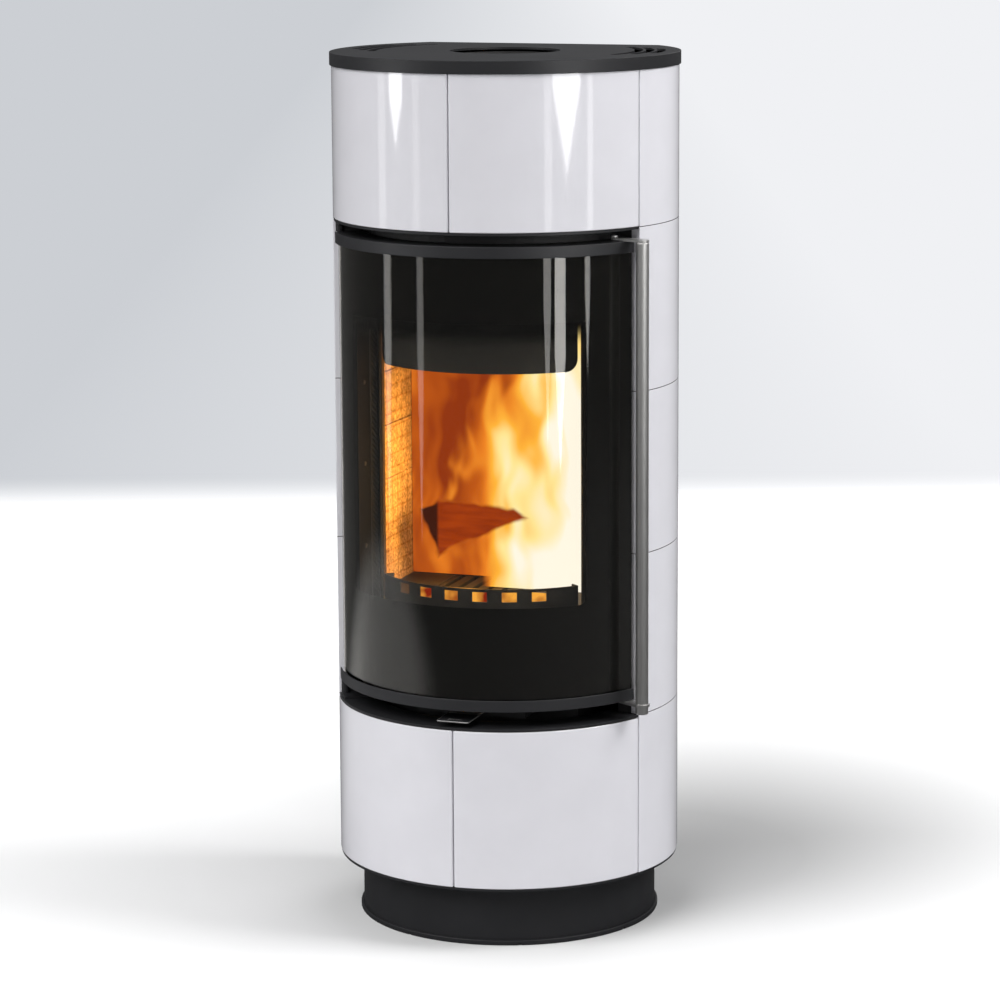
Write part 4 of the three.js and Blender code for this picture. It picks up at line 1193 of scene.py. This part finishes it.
    def world(self):
        world = bpy.data.worlds.new("pale_room")
        world.use_nodes = True
        tree = world.node_tree
        tree.nodes.clear()
        ray = add_node(tree, "LightPath").outputs
        heading = axes(tree, add_node(tree, "TexCoord").outputs["Generated"])
        mirrored = graded(tree, heading["Y"], self.room_mirrored, self.room_turn)
        level = graded(tree, ray["Is Glossy Ray"], (self.room_light, mirrored))
        seen = graded(tree, ray["Is Camera Ray"], (level, self.room_seen))
        sky = add_node(tree, "Background", {"Color": self.room_colour, "Strength": seen})
        add_node(tree, "OutputWorld", {"Surface": sky.outputs["Background"]})
        bpy.context.scene.world = world

    def fire(self):
        """Flames behind the glass, as two lit sheets, and the warm light that they throw."""
        left, right = high("lining_left", 0), low("lining_right", 0)
        bottom, top = high("hearth_plate") + 1 * MM, high("lining_left") + self.flame_rise
        for index, (depth, margin) in enumerate(zip(self.flame_depths, self.flame_margins)):
            sheet = plane("flames_%d" % index, ((left + right) / 2, depth, (bottom + top) / 2), 0,
                          right - left - 2 * margin, top - bottom)
            self.show(sheet, material("Flames_%d" % index, self.flame, index))
        width, tall = self.ember_size
        bed = plane("ember_bed", (0, self.ember_y, bottom + tall / 2), 0, width, tall)
        self.show(bed, material("Embers", self.embers))
        lamp = self.lamp("POINT", "fire_lamp", self.fire_place, (0, 0, 0), energy=8, color=linear("#ffc460"),
                         shadow_soft_size=0.06)
        lamp.visible_camera = lamp.visible_transmission = lamp.visible_glossy = False

    def flame(self, tree, index):
        """Tongues of flame: stretched noise, bent by a coarser noise, whiter low down and to the right."""
        place = add_node(tree, "TexCoord").outputs["Object"]
        bend = add_node(tree, "TexNoise", {"Vector": place, "Scale": 8.0, "Detail": 1.0}).outputs["Color"]
        bent = vector_maths(tree, "ADD", place, vector_maths(tree, "SCALE", bend, Scale=0.1))
        stretched = add_node(tree, "Mapping", {"Vector": bent, "Scale": (1, 1, 0.3),
                                               "Location": (index * 0.37, 0, index * 0.21)})
        tongue = noise(tree, stretched.outputs["Vector"], 62 * MM, 2)
        across, _, upward = axes(tree, place)
        rise = graded(tree, upward, (0.16, 0.03), (0.5, 0.87), True)
        aside = graded(tree, across, (-0.26, 0.3), (-0.1, 0.1), True)
        total = maths(tree, "ADD", maths(tree, "ADD", tongue, rise), aside)
        heat = add_node(tree, "ValToRGB", {"Fac": total})
        stops = heat.color_ramp.elements
        for number, (position, colour) in enumerate((self.flame_stops[0], self.flame_stops[-1])):
            stops[number].position = position
            stops[number].color = (*linear(colour), 1)
        for position, colour in self.flame_stops[1:-1]:
            stops.new(position).color = (*linear(colour), 1)
        colour = heat.outputs["Color"]
        mask = graded(tree, total, source=self.flame_edges[index], smoothly=True)
        if index == 0:
            # The log is drawn into this lit sheet: painted firelight on its face, and painted shade on its
            # darker left end
            wood = self.log_shape(tree, place)
            grain = coordinates(tree, Rotation=(0, math.radians(-14), 0), Scale=(0.18, 1, 1))
            face = ramp(tree, noise(tree, grain, 9 * MM), *map(linear, self.log_face), 0.2, 0.8)
            lit = graded(tree, across, source=self.log_end, smoothly=True)
            log = choice(tree, lit, (*linear(self.log_end_shade_colour), 1), face)
            colour = choice(tree, wood, colour, log)
            mask = maths(tree, "MAXIMUM", mask, wood)
        clear = add_node(tree, "BsdfTransparent").outputs["BSDF"]
        return self.blend(tree, mask, clear, emission(tree, self.flame_glow, colour))

    def log_shape(self, tree, place):
        """1 inside the outline of the split log that stands dark against the flames, 0 outside."""
        inside = None
        for across, upward, limit in self.log_edges:
            side = vector_maths(tree, "DOT_PRODUCT", place, (across, 0, upward), result="Value")
            margin = maths(tree, "SUBTRACT", limit, side)
            inside = maths(tree, "MINIMUM", inside, margin) if inside else margin
        ragged = maths(tree, "ADD", inside, graded(tree, noise(tree, place, 32 * MM, 1.5), self.log_ragged))
        return graded(tree, ragged, source=(-3 * MM, 6 * MM), smoothly=True)

    def embers(self, tree):
        """The glowing bed behind the log guard: orange and dark red patches."""
        patches = noise(tree, coordinates(tree), 30 * MM, 2)
        colour = ramp(tree, patches, *map(linear, self.ember_colours), 0.38, 0.62)
        return emission(tree, self.ember_glow, colour)


OPERATORS = (
    OBJECT_OT_stove_finishes,
    OBJECT_OT_stove_tiles,
    OBJECT_OT_stove_plinth,
    OBJECT_OT_stove_top,
    OBJECT_OT_stove_carriers,
    OBJECT_OT_stove_door,
    OBJECT_OT_stove_glass,
    OBJECT_OT_stove_handle,
    OBJECT_OT_stove_air_tab,
    OBJECT_OT_stove_inside,
    OBJECT_OT_stove_stage,
)


class VIEW3D_PT_stove(bpy.types.Panel):
    """Lists the stove's operators in the sidebar"""

    bl_label = "Tiled stove"
    bl_idname = "VIEW3D_PT_stove"
    bl_space_type = "VIEW_3D"
    bl_region_type = "UI"
    bl_category = "Tiled stove"

    def draw(self, context):
        for operator in OPERATORS:
            self.layout.operator(operator.bl_idname)


CLASSES = (StoveSizes, StoveColours, *OPERATORS, VIEW3D_PT_stove)


def register():
    for cls in CLASSES:
        bpy.utils.register_class(cls)
    bpy.types.Scene.stove_sizes = PointerProperty(type=StoveSizes)
    bpy.types.Scene.stove_colours = PointerProperty(type=StoveColours)


def unregister():
    del bpy.types.Scene.stove_colours
    del bpy.types.Scene.stove_sizes
    for cls in reversed(CLASSES):
        bpy.utils.unregister_class(cls)


def main():
    register()
    for operator in OPERATORS:
        group, name = operator.bl_idname.split(".")
        getattr(getattr(bpy.ops, group), name)()


if __name__ == "__main__":
    main()
